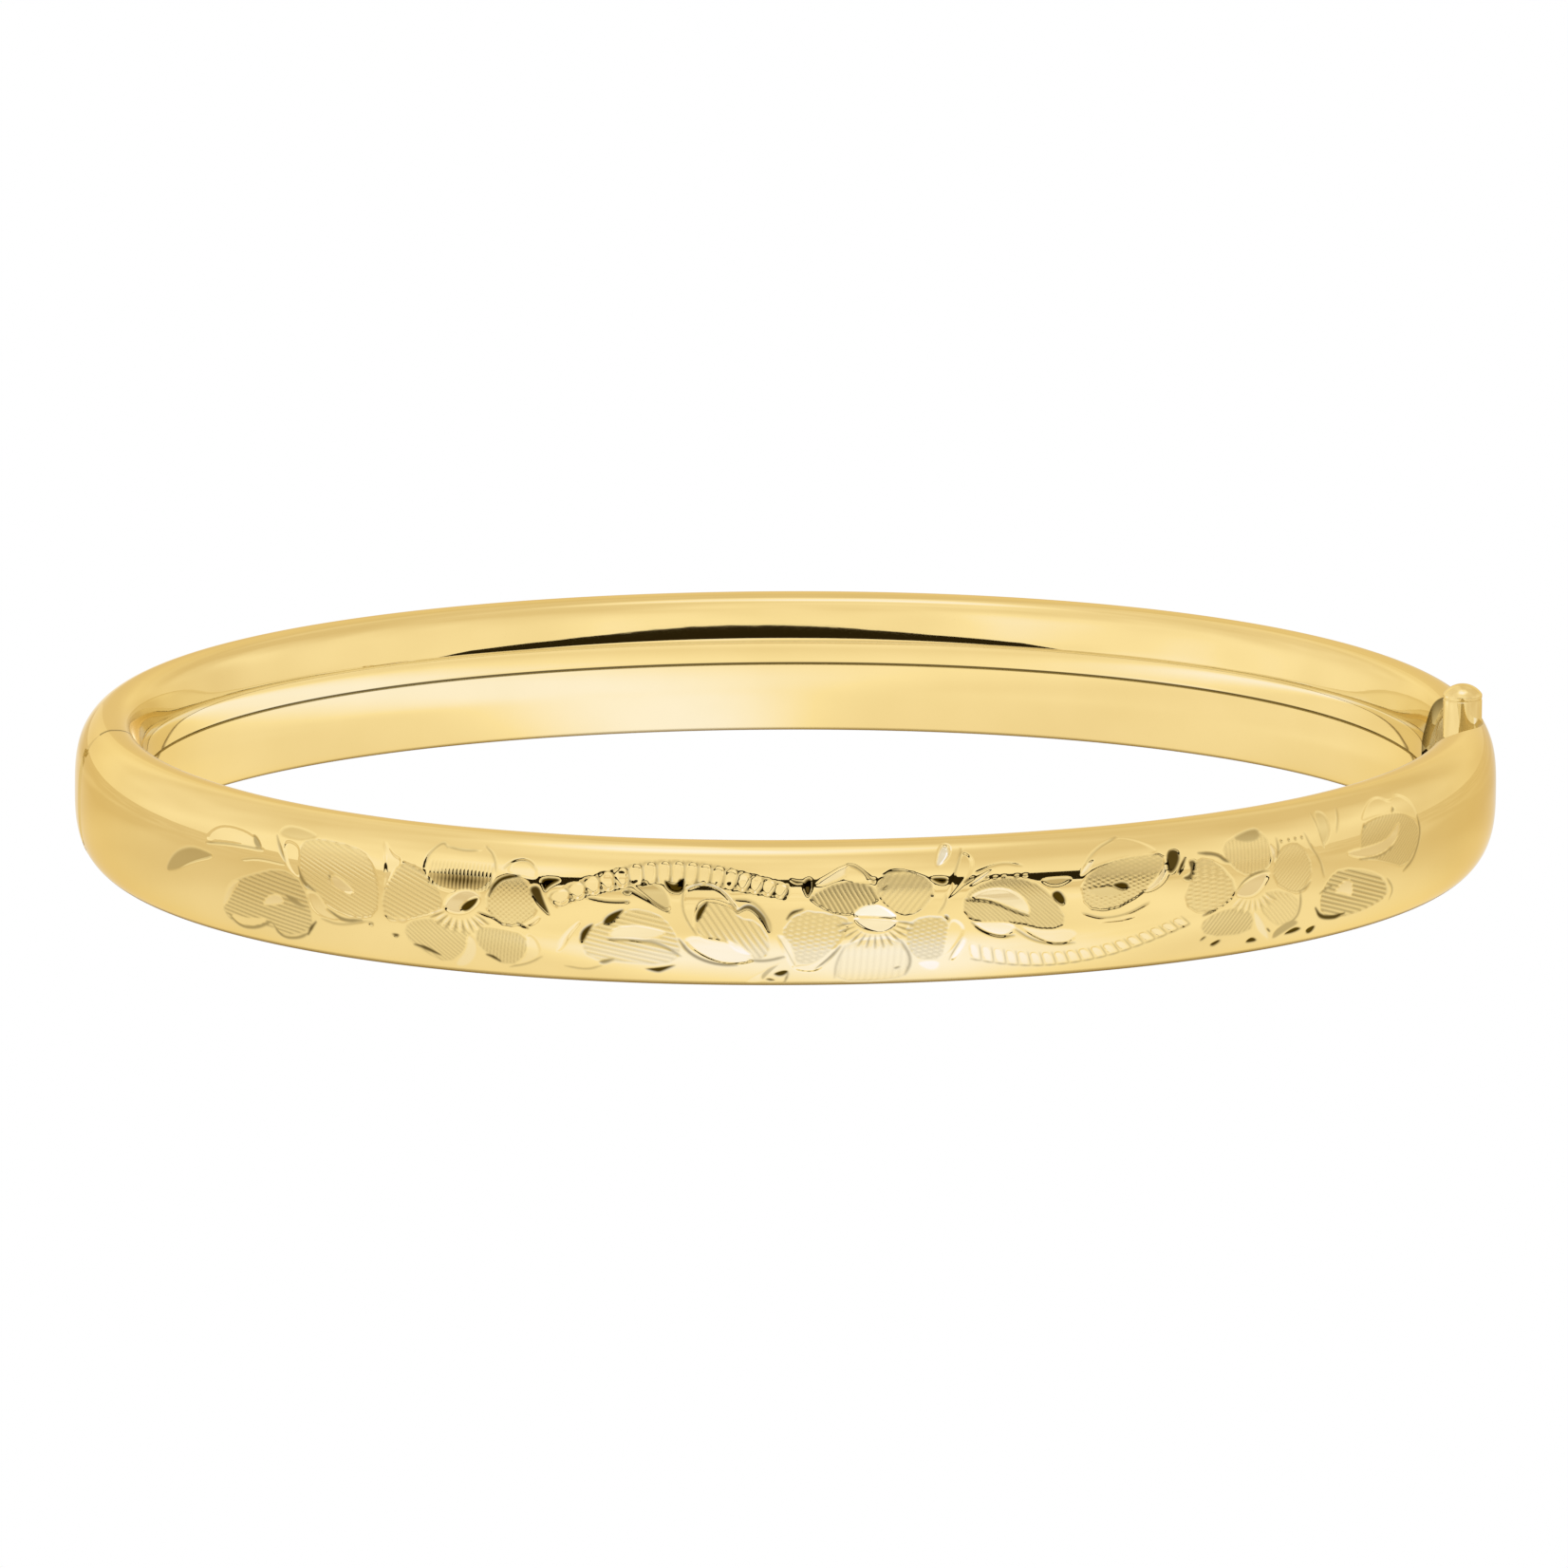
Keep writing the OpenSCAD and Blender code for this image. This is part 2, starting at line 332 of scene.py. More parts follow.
    def row(self, arc, count, crowd=1.0):
        """Places of a row along a smooth arc: each centre, its step to the next and its share of the way."""
        line = rounded(arc, False, 3)
        walked = np.concatenate([[0.0], np.cumsum(np.hypot(*np.diff(line, axis=0).T))])
        shares = np.linspace(0, 1, count + 1) ** crowd
        stops = np.stack([np.interp(shares * walked[-1], walked, line[:, i]) for i in (0, 1)], -1)
        pairs = zip(stops[:-1], stops[1:])
        return [((a + b) / 2, b - a, (i + 0.5) / count) for i, (a, b) in enumerate(pairs)]

    def beads(self, arc, count):
        """Row of round-topped scallops, painted a little lighter, with painted brown shade on their sides
        and painted dark shade in the gaps between their feet.

        Those above the shoulder's top lean the other way and less.
        """
        for middle, step, share in self.row(arc, count, crowd=0.88):
            along = step / np.hypot(*step)
            across = 0.52 * step
            up = np.array([-along[1], along[0]]) * (0.3 + 0.16 * math.sin(math.pi * share))
            low_left, low_right = middle - up - 0.75 * across, middle - up + 0.6 * across
            top_left, top_right = middle + up - across, middle + up + across
            rise = 0.1 if middle[1] > self.SHOULDER_TOP else -0.4
            self.facet(0.2, [low_left, low_right, top_right, top_left], tilt=(0.3, rise))
            self.stroke(-0.5, low_right, middle + across, top_right - 0.3 * across, width=0.2)
            self.stroke(-0.25, low_left, middle - across, top_left, middle + 1.05 * up, width=0.12)
            foot = low_right + 0.45 * across
            dark = -0.4 - 0.6 * share
            self.pit(low_right + 0.3 * up, foot + 0.9 * up, foot - 0.15 * up, tone=dark)

    def teeth(self, arc, count):
        """Row of small slanting cuts that touch each other, painted bright, with painted shade along their
        sides and lower edges.
        """
        for middle, step, share in self.row(arc, count):
            along = step / np.hypot(*step)
            up = np.array([-along[1], along[0]]) * (0.36 - 0.1 * share)
            half, lean = 0.4 * step, 0.3 * step
            low, high = middle - up + lean, middle + up - lean
            self.facet(0.45, [low - half, low + half, high + half, high - half], tilt=(-0.3, 0.0), times=1)
            self.stroke(-0.35, low + 1.2 * half, middle + 1.2 * half, high + 1.2 * half, width=0.09)
            self.stroke(-0.45, low - half, low, low + half, width=0.1 + 0.06 * share)


def engrave(work):
    """Cuts every motif, from the hinge end to the clasp."""
    engrave_hinge_leaves(work)
    engrave_first_flower(work)
    engrave_left_scroll(work)
    engrave_heart_leaf(work)
    engrave_middle_flower(work)
    engrave_right_scroll(work)
    engrave_third_flower(work)
    engrave_clasp_leaves(work)


def engrave_hinge_leaves(work):
    work.facet(-0.3, [(-36.5, -0.8), (-35.9, 0.1), (-35, 0.6), (-34, 0.8), (-32.4, 0.6), (-34.3, 0),
                (-35.5, -0.6)])
    work.facet(0.2, [(-33.4, 1.1), (-33.1, 1.7), (-32.2, 2.1), (-30.4, 2), (-29.6, 1.4), (-31, 1.35)])
    work.stroke(-0.4, (-33.3, 1.1), (-31.8, 1.3), (-30.6, 1.35), (-29.6, 1.35))
    work.facet(-0.45, [(-30.4, 2.0), (-29.9, 1.8), (-29.6, 1.35), (-30.2, 1.4)])
    work.field([(-32.3, -1.7), (-31.7, -0.5), (-30.9, -0.1), (-29.8, 0.3), (-28.9, 0.6), (-28, 0.6),
                (-27.2, 0.2), (-26.6, -1.4), (-27, -2.1), (-28.8, -2.6), (-29.1, -2.1), (-31.2, -2.5),
                (-32, -2.3)], -8, shade=0.28)
    work.facet(0.3, [(-32.3, -1.7), (-32, -1), (-31.5, -0.4), (-30.9, -0.2), (-31.4, -0.8), (-31.9, -1.5)])
    work.facet(0.12, [(-31.8, -1.9), (-30.9, -2), (-29.2, -1.7), (-29.9, -2.2), (-31, -2.4), (-31.7, -2.3)])
    work.stroke(-0.5, (-31.9, -2), (-31.4, -2.5), (-30.3, -2.4), (-29.2, -1.9), width=0.14)
    work.stroke(-0.5, (-29.1, -2), (-28.8, -2.6), (-27.8, -2.5), (-27, -2.1), width=0.14)
    work.facet(0.4, [(-29.7, -1.2), (-29.2, -0.6), (-28.5, -0.5), (-28.2, -0.9), (-29, -1.1)])
    work.facet(-0.45, [(-28.4, -0.4), (-27.7, -0.5), (-26.8, -1), (-27.8, -0.9)])
    work.stroke(-0.8, (-26.5, -1.5), (-26.8, -1.8), (-27.1, -2.2), width=0.18)
    work.facet(0.15, [(-28.5, 2), (-27.6, 1.9), (-27.4, 1.4), (-27.3, 0.2), (-28.2, 0.9)])
    work.stroke(-0.4, (-28.9, 2.1), (-28.6, 1.6), (-28.2, 1), width=0.14)
    work.stroke(-0.2, (-30.9, 0.7), (-29.8, 0.95), (-28.2, 0.9))
    work.facet(-0.1, [(-28.9, 2.1), (-28.6, 2.6), (-27.5, 2.6), (-26.4, 2.35), (-27.4, 2)])
    work.field([(-27.5, 2), (-26.6, 2.3), (-24.6, 2.2), (-23.6, 1.8), (-23.1, 0.6), (-23.2, -0.8),
                (-24.4, -1.1), (-25.8, -0.7), (-26.8, -0.1), (-27.4, 0.7)], -22, pitch=0.18, shade=0.12)
    work.facet(0.4, [(-25.7, 0.8), (-25.2, 0.75), (-24.2, 0.1), (-25, 0), (-25.6, 0.3)], tilt=(0.1, 0.15))
    work.pit((-25.9, 0.8), (-25.6, 0.8), (-25.7, 0.4), tone=-0.5)
    work.stroke(-0.5, (-27.5, 0.9), (-27.2, 0.2), (-26.5, -0.1), width=0.18)
    work.facet(0.25, [(-27.1, -0.1), (-26.4, -0.1), (-25.8, -0.8), (-25, -1.3), (-26, -1.3), (-26.7, -1)])
    work.stroke(-0.55, (-25.9, -0.8), (-25, -1.25), (-24, -1.1), width=0.16)
    work.stroke(-0.3, (-26.2, -1.3), (-25.2, -1.5), (-23.7, -1.1))
    work.facet(0.3, [(-23.2, 2.8), (-22.5, 2), (-22, 1.9), (-22.4, 0.8), (-22.9, 0.2), (-22.8, 1.4)],
               tilt=(0.2, 0))
    work.stroke(-0.4, (-22, 1.5), (-22.3, 0.9), (-22.7, 0.3))
    work.pit((-22.6, -1.5), (-22, -1.5), (-22.3, -1.8), tone=-0.8)
    work.pit((-23.8, -1.1), (-23.3, -1.1), (-23.5, -1.4), tone=-0.4)


def engrave_first_flower(work):
    work.field([(-22.1, 1.9), (-20.8, 1.5), (-19.9, 0.4), (-20.1, -0.3), (-21.9, -0.9), (-22.8, -1),
                (-23, 0.2)], -22)
    work.facet(0.4, [(-22.5, -0.7), (-21.9, -1.1), (-21.4, -0.6), (-21.9, -0.8)])
    for s, z in ((-21.9, 1.75), (-21.4, 1.62), (-21.1, 1.5)):
        work.pit((s - 0.1, z), (s, z + 0.1), (s + 0.1, z), (s, z - 0.12), tone=-0.5)
    work.facet(0.02, [(-21, 1.5), (-20.8, 2.3), (-20.2, 2.9), (-19.9, 2.55), (-18.4, 2.5), (-18, 2.8),
                (-17.5, 2.4), (-17.4, 1.5), (-18.1, 0.7), (-19.8, 0.6), (-20.6, 1)], tilt=(0, -0.04))
    work.stroke(-0.35, (-20.9, 1.6), (-20.8, 2.2), (-20.2, 2.8), (-19.9, 2.55), width=0.08)
    work.stroke(-0.35, (-19.9, 2.6), (-19.1, 2.5), (-18.4, 2.55), width=0.08)
    work.stroke(-0.35, (-18.1, 2.75), (-17.6, 2.4), (-17.45, 1.7), width=0.08)
    for i in range(17):
        s = -20.6 + 0.18 * i
        bow = ((s + 19.1) / 1.5) ** 2
        heavy = 1 - 0.6 * bow
        work.stroke(-1.0 * heavy, (s + 0.05, 1.65 - 0.1 * bow), (s, 0.8 + 0.15 * bow), width=0.13)
        work.stroke(-0.22, (s + 0.1, 2.0), (s + 0.05, 1.6), width=0.07)
    work.field([(-18, 0.3), (-17.5, 1.3), (-17, 1.6), (-16, 1.6), (-15.7, 0.7), (-15.4, 0), (-16.4, -0.7),
                (-17.4, -0.6)], 40, -40, pitch=0.17, shade=0.1)
    work.stroke(-0.9, (-17.75, 0.65), (-17.5, 1.15), (-17.1, 1.5), (-16.3, 1.65), width=0.18)
    work.facet(0.06, [(-17, 1.7), (-16.8, 2.2), (-16.1, 2.4), (-15.6, 2.1), (-15.5, 1.5), (-16.2, 1.6)])
    work.stroke(-0.25, (-17.1, 1.9), (-16.6, 2.3), (-15.9, 2.3), (-15.6, 1.9))
    work.pit((-15.9, 1.2), (-15.4, 1.3), (-15.2, 0.7), (-14.8, -0.2), (-15.4, 0.3), (-15.8, 0.8),
             tone=-0.85)
    work.pit((-15.5, 1.65), (-14.2, 1.65), (-15, 1.2), (-15.15, 0.9), tone=-1.0)
    work.facet(0.3, [(-15.2, 0), (-15.6, -0.6), (-16.4, -0.7), (-15.8, -0.3)])
    work.stroke(-0.7, (-16.4, -0.5), (-16.2, -0.6), (-15.9, -0.7), width=0.16)
    work.field([(-21.7, -0.9), (-21.9, -1.6), (-21, -2.3), (-19.9, -2.8), (-18.8, -1.9), (-18.5, -1.2),
                (-19, -0.7), (-20.6, -0.6)], -40, pitch=0.17, shade=0.2)
    work.stroke(-0.8, (-21.4, -1.95), (-20.9, -2.05), (-20.2, -2.35), width=0.18)
    work.facet(0.45, [(-18.8, -1.1), (-18.3, -1.5), (-18.4, -2.3), (-19.1, -2.9), (-19.7, -2.8),
                (-18.9, -2)])
    work.field([(-18.4, -0.8), (-17.4, -0.8), (-16, -1), (-15.9, -1.9), (-16.9, -2.7), (-18, -2),
                (-18.4, -1.6)], 80, pitch=0.16, shade=0.26)
    work.stroke(-0.85, (-17.9, -2.1), (-17.6, -2.2), (-17.3, -2.4), width=0.2)
    work.facet(0.3, [(-16, -0.9), (-15.5, -1.2), (-15.3, -1.9), (-16, -2.4), (-17, -2.8), (-16, -2)])
    work.stroke(-0.35, (-15.3, -2), (-16, -2.4), (-16.9, -2.65))
    eye = (-19.1, 0.1)
    work.fan(0.7, eye, range(205, 320, 16), 0.9, 0.7, width=0.14)
    work.fan(-0.5, eye, range(212, 350, 16), 0.9, 0.8, width=0.1)
    work.facet(0.5, [(-20, -0.2), (-19.7, 0.5), (-18.9, 0.9), (-18.1, 0.7), (-18.2, 0.2), (-19, -0.4)],
               tilt=(0, 0.2))
    work.pit((-19.2, -0.1), (-18.9, 0.3), (-18.2, 0.6), (-18.3, 0.2), (-18.8, -0.25))


def engrave_left_scroll(work):
    work.facet(-0.2, [(-11.5, 1.7), (-10.4, 1.7), (-9.6, 1.3), (-9.4, 0.2), (-10.4, 0.8)], tilt=(0, -0.15))
    work.stroke(-0.55, (-11.4, 1.3), (-10.6, 0.9), (-9.5, 0.3), width=0.12)
    work.beads([(-14.8, 0.6), (-13.6, 1.15), (-12.2, 1.65), (-10.8, 2), (-9.2, 2.1), (-7.4, 1.95),
                (-5.9, 1.65), (-4.3, 1.25)], 17)
    work.pit((-9.9, 1.9), (-9.6, 1.2), (-8.9, 1.15), (-8.8, 1.75), (-9.1, 1.9), (-9.3, 1.5), tone=-1.0)
    work.pit((-11.7, 1.2), (-11.4, 1.3), (-11.2, 1.15), (-11.4, 1.0), tone=-0.8)
    work.stroke(-0.35, (-13.2, 0.85), (-12.3, 0.7), (-11.3, 0.75))
    work.pit((-11.6, 0.8), (-11.3, 0.8), (-11.4, 0.6), tone=-0.6)
    work.facet(0.35, [(-14.7, -1.8), (-14.4, -1), (-13.3, 0), (-13.9, -0.8), (-14.3, -1.6)], tilt=(0.15, 0))
    work.field([(-13.5, -1.2), (-13, -0.4), (-11.9, 0), (-11.2, 0.5), (-10.1, 0.3), (-9.4, -0.3),
                (-8.9, -1.6), (-9.7, -2.2), (-11.6, -2.1), (-13.2, -2)], -12, pitch=0.22)
    work.facet(0.6, [(-12.4, -1), (-12, -0.4), (-10.8, -0.3), (-9.4, -0.6), (-10.4, -1)], tilt=(0, 0.2))
    work.stroke(-0.45, (-12.3, -1), (-11, -1), (-10, -1.1), (-9, -1.7), width=0.13)
    work.pit((-13.6, -1.2), (-13.5, -0.6), (-12.8, -0.2), (-13.1, -0.7), (-13.4, -1.3), tone=-0.9)
    work.pit((-12.6, -0.35), (-12.3, 0.15), (-11.4, 0.5), (-11.8, 0), (-12.1, -0.35), tone=-0.9)
    work.pit((-12.8, -2.1), (-12.4, -1.95), (-11.8, -1.9), (-12.5, -2.3), tone=-0.6)
    work.stroke(-0.3, (-14.3, -2.4), (-13.3, -2.55), (-12.6, -2.3))
    work.pit((-10.8, -2.35), (-10.2, -2.3), (-9, -2.05), (-9.8, -2.5), (-10.1, -2.6), tone=-0.9)


def engrave_heart_leaf(work):
    work.facet(0.15, [(-9, 1.4), (-8, 1.7), (-7.1, 1.4), (-6.2, 0.2), (-7, 0.7), (-8, 0.9), (-8.4, 0.3),
                (-8.4, -0.6), (-8.9, 0.2)], tilt=(0.05, 0.1))
    work.stroke(-0.4, (-8.9, 1.4), (-8.95, 0.5), (-8.7, -0.1), (-8.3, -0.7), width=0.09)
    work.stroke(-0.35, (-8.9, 1.3), (-8, 1.7), (-7.1, 1.3), (-6.5, 0.3), width=0.1)
    work.field([(-8.4, 0.4), (-7.8, 0.9), (-7.1, 0.8), (-6.4, 0.1), (-5.6, 0), (-5, -1), (-5.2, -1.8),
                (-6.2, -1.8), (-7, -0.95), (-8.3, -0.8)], -55, pitch=0.26, shade=0.17)
    work.facet(0.4, [(-8.4, -0.7), (-7.5, -1), (-6.9, -1), (-5.5, -1.8), (-6.3, -2.1), (-7.6, -2),
                (-9, -1)], tilt=(0, -0.15))
    work.stroke(-0.6, (-9.1, -0.9), (-8.6, -1.6), (-7.6, -2.05), (-6.5, -2.1), width=0.14)
    work.facet(0.6, [(-7.1, -0.9), (-6.6, -1), (-5.6, -1.7), (-6.5, -1.6)], tilt=(0, 0.1))
    work.pit((-8.4, -0.1), (-8.3, 0.5), (-7.7, 1), (-7.9, 0.5), (-8.2, -0.1))
    work.stroke(-0.75, (-6.5, 0.4), (-6, 0.7), (-5.4, 0.2), (-5.1, -0.5), width=0.22, depth=0.05)
    work.stroke(-0.35, (-6.7, 0.95), (-5.8, 0.9), (-5.1, 0.1), (-5, -0.5))
    work.stroke(-0.5, (-6.0, -1.85), (-5.2, -1.9), (-4.3, -1.65), width=0.13)
    work.facet(0.4, [(-6.3, -3), (-5.4, -2.4), (-4.3, -1.8), (-4.8, -2.4), (-5.4, -3)])
    work.facet(-0.35, [(-5.5, -2.6), (-5.1, -2.2), (-4.4, -1.95), (-4.9, -2.4), (-5.4, -3)])
    work.pit((-5, -2.55), (-4.4, -2.3), (-4.1, -2.4), (-4.5, -2.75))
    work.pit((-5.3, -2.8), (-5, -2.75), (-4.7, -2.9), (-5, -3), tone=-0.8)
    work.stroke(-0.6, (-4.2, -2.5), (-4.35, -3), width=0.14)
    work.stroke(-0.95, (-4.1, 1.8), (-3.9, 1.7), (-3.6, 1.7), width=0.16)
    work.pit((-3.7, 1.7), (-3.2, 2), (-3.15, 1.4), (-3.4, 0.9), tone=-0.85)


def engrave_middle_flower(work):
    work.field([(-3.4, 1.1), (-1.9, 1.8), (-0.5, 1.6), (-0.1, 1), (-0.6, 0.5), (-1.9, 0.1), (-3.2, 0.8)],
               -60, pitch=0.2, depth=0.04, shade=0.4)
    work.facet(0.5, [(-3.2, 1.6), (-1.6, 2.5), (-1.2, 2.35), (-1.8, 1.9), (-2.7, 1.5)], tilt=(0, 0.25),
               times=1)
    work.facet(0.05, [(-1.6, 2.5), (-1.1, 2.4), (-0.4, 1.6), (-1.2, 1.6), (-1.8, 1.8)], tilt=(0.1, 0.1),
               times=1)
    work.stroke(-0.4, (-1.6, 2.45), (-1.1, 2.3), (-0.4, 1.7), width=0.12)
    work.pit((-0.6, 1.8), (-0.3, 1.9), (-0.4, 1.5), tone=-0.4)
    work.field([(-0.2, 0.9), (-0.4, 1.5), (0.2, 2.1), (1.1, 2.2), (2.2, 1.7), (2.3, 1), (1.6, 0.2),
                (0.7, 0.1)], 50, pitch=0.24, depth=0.008, shade=0.12)
    work.stroke(-0.5, (0, 1.95), (0.4, 2.15), (1, 2.1), width=0.12)
    work.pit((-0.1, 1.3), (0.1, 1.6), (0.3, 1.6), (0.05, 1.3), tone=-0.55)
    work.pit((2.1, 1.1), (2.3, 1.1), (2.25, 0.9), tone=-0.6)
    work.field([(-3.8, 0.5), (-2.2, 0.3), (-1.4, 0), (-1.8, -0.9), (-2.9, -2.1), (-4, -2), (-4.7, -0.7)],
               10, -28, shade=0.12)
    work.stroke(-0.85, (-4.3, 0.05), (-4.1, 0.35), (-3.6, 0.5), width=0.18)
    work.facet(0.3, [(-4.8, -0.6), (-4.3, -0.8), (-3.9, -1.6), (-3.9, -2.4), (-4.3, -1.9)], tilt=(0.2, 0))
    work.stroke(-0.4, (-4.7, -0.7), (-4.3, -1.4), (-3.9, -2.2), width=0.08)
    work.facet(0.3, [(-4, -2.1), (-3, -2.05), (-2, -1.1), (-2.3, -1.9), (-2.9, -2.5), (-3.9, -2.4)],
               tilt=(0, -0.2))
    work.stroke(-0.55, (-3, -2.35), (-2.5, -1.9), (-1.9, -1.2), width=0.14)
    work.field([(-1.6, -0.9), (-2.1, -2), (-2, -3), (0, -3.05), (1.2, -2.8), (1.4, -2), (0.8, -0.8)], 88,
               pitch=0.3, depth=0.02, shade=0.05)
    work.stroke(-0.3, (-1.7, -1.2), (-2.1, -2), (-2.1, -2.8))
    work.stroke(-0.45, (0.8, -1), (1.35, -1.9), (1.1, -2.7), width=0.13)
    work.pit((0.5, -2.3), (0.8, -2.2), (0.9, -2.3), (0.6, -2.45), tone=-0.6)
    work.field([(1, -0.3), (1.8, 0.1), (2.9, 0), (3, -0.8), (2.7, -2), (1.7, -2), (1.1, -1.4)], 12, -30,
               pitch=0.19)
    work.pit((2.7, 0.1), (2.95, 0.1), (3.05, -0.3), (2.85, -0.1), tone=-0.8)
    work.facet(0.12, [(3, 0), (3.7, -0.4), (3.6, -1), (2.7, -2), (2.8, -1.2)], tilt=(0.1, 0))
    work.facet(0.55, [(3.6, -0.9), (3.9, -1.2), (3.3, -2.1), (3, -2)], tilt=(-0.2, 0))
    work.stroke(-0.45, (3.6, -1), (3.3, -1.5), (3.05, -2))
    work.facet(0.55, [(1.4, -2), (2.7, -1.95), (2.6, -2.5), (2, -2.5)], tilt=(0, -0.2))
    eye = (-0.35, 0.0)
    work.fan(-0.5, eye, range(192, 352, 13), 1.0, 0.75, width=0.12)
    work.fan(0.45, eye, range(198, 352, 13), 1.0, 0.6, width=0.1)
    work.facet(0.95, [(-1.5, 0.1), (-1.1, 0.6), (-0.4, 0.75), (0.2, 0.5), (0.8, -0.05), (-0.3, 0.05)],
               tilt=(0, -0.2))
    work.facet(0.65, [(-1.5, 0.15), (-0.3, 0.05), (0.8, -0.05), (0.4, -0.5), (-0.2, -0.65), (-1, -0.4)],
               tilt=(0, 0.2))
    work.stroke(-0.3, (-1.2, 0.12), (-0.3, 0.06), (0.6, -0.02), width=0.08)


def engrave_right_scroll(work):
    work.facet(0.95, [(2.3, 2.05), (2.7, 3.1), (3.2, 3.1), (3.1, 2.6)], tilt=(0.3, 0.3))
    work.pit((2.0, 1.8), (3, 1.8), (2.85, 1.45), (2.5, 1.5))
    work.facet(0.06, [(2.7, 0.6), (3.3, 2), (3.7, 2.9), (4.2, 2.5), (4, 1.8), (3.3, 1.1)], tilt=(0.15, 0))
    work.stroke(-0.4, (3.05, 1.5), (3.35, 2.1), (3.7, 2.9), width=0.08)
    work.stroke(-0.35, (2.85, 1), (2.8, 0.6), (2.5, 0.2), width=0.08)
    work.field([(3.5, 0.4), (4, 1.3), (5.4, 1.7), (6.8, 1.5), (7.7, 0.8), (8.6, -0.6), (7.6, -0.9),
                (6, -0.4), (4, -0.3)], -42, pitch=0.14, depth=0.02, shade=0.26)
    work.facet(0.6, [(3.7, 0.8), (4.6, 1.2), (5.7, 1.2), (6.6, 0.6), (6.8, -0.15), (6.2, 0.1), (5, 0.6)],
               tilt=(0, 0.15))
    work.stroke(-0.5, (3.7, 0.75), (4.9, 0.65), (6, 0.1), (6.7, -0.15), width=0.12)
    work.facet(0.85, [(3.7, 1.25), (4.3, 1.7), (5.2, 2.15), (4.5, 1.55)], tilt=(0, 0.2))
    work.stroke(-0.25, (4.2, 1.9), (5.4, 2.3), (6.4, 2.1), width=0.08)
    work.stroke(-0.85, (3.7, 1.5), (3.9, 1.65), (4.1, 1.7), width=0.18)
    for s in (4.7, 5.1, 5.5, 6.1, 6.5):
        work.pit((s - 0.15, 1.62), (s, 1.75), (s + 0.18, 1.7), (s, 1.58), tone=-0.75)
    work.facet(-0.25, [(7.1, 1.5), (8.9, 1.5), (8.3, 1.1), (7.6, 1.1)], tilt=(0, -0.1))
    work.facet(0.6, [(3.9, -0.25), (5.9, -0.35), (6.1, -0.8), (5.5, -1.1), (4.6, -0.8)], tilt=(0, -0.15))
    work.stroke(-0.55, (4, -0.3), (4.6, -0.8), (5.4, -1.05), (6, -1), width=0.12)
    work.facet(0.3, [(6, -0.5), (7.2, -0.9), (9, -0.9), (8.8, -1.6), (7.4, -1.5)], tilt=(0, -0.15))
    work.stroke(-0.45, (6, -0.7), (6.8, -1.25), (7.8, -1.55), (8.9, -1.55), width=0.1)
    work.pit((7.6, 0.75), (8.1, 1), (8.5, 0.4), (8.2, 0.15), tone=-0.95)
    work.teeth([(3.9, -1.6), (5.5, -2), (7.2, -2.25), (8.8, -2.25), (10.6, -2.05), (12.4, -1.6),
                (14.4, -1)], 18)
    work.field([(9.1, 1.3), (10.4, 2), (12.2, 2.2), (13.4, 2.1), (13.4, 1.4), (12.2, 0.4), (10.6, -0.25),
                (9.3, 0)], 15, -30, pitch=0.17, depth=0.02, shade=0.12)
    work.facet(0.1, [(9.2, 1.7), (9.9, 2.6), (11.2, 3), (12.4, 2.7), (13.3, 2.1), (11.4, 2.1), (10.2, 1.9)],
               tilt=(0, 0.08))
    work.stroke(-0.3, (9.2, 1.7), (9.9, 2.5), (11.2, 2.95), width=0.08)
    work.facet(0.65, [(9, 1.4), (9.4, 2), (10, 2.2), (9.5, 1.6)], tilt=(0.1, 0.1))
    work.facet(-0.18, [(9.1, 0.9), (11, 1), (11.3, 0.5), (10.2, 0.35)], tilt=(0, -0.1))
    work.pit((10.5, 1), (11.3, 1.1), (11.6, 0.8), (11.2, 0.6), tone=-0.9)
    work.facet(0.5, [(13.4, 2.2), (13.2, 1.3), (12, 0.4), (13, 0.6), (13.6, 1.3)], tilt=(0.2, 0))
    work.stroke(-0.4, (9.2, -0.2), (10.2, -0.55), (11.4, -0.45), (12.5, 0), width=0.09)
    work.facet(0.2, [(9.5, -0.7), (11.2, -0.8), (12.2, -0.5), (11, -0.5)], tilt=(0, 0.1))
    work.pit((13.45, 2.25), (14.1, 2.25), (14.2, 1.8), (13.8, 1.2), (13.4, 1.2), tone=-0.85)
    work.stroke(-0.95, (14, 1.2), (14.2, 1.5), (14.4, 1.8), width=0.22)
    work.pit((14.5, 1.7), (15, 1.7), (15, 1), (14.6, 0.7), (14.1, 0.95), (14.7, 1.1), tone=-0.75)


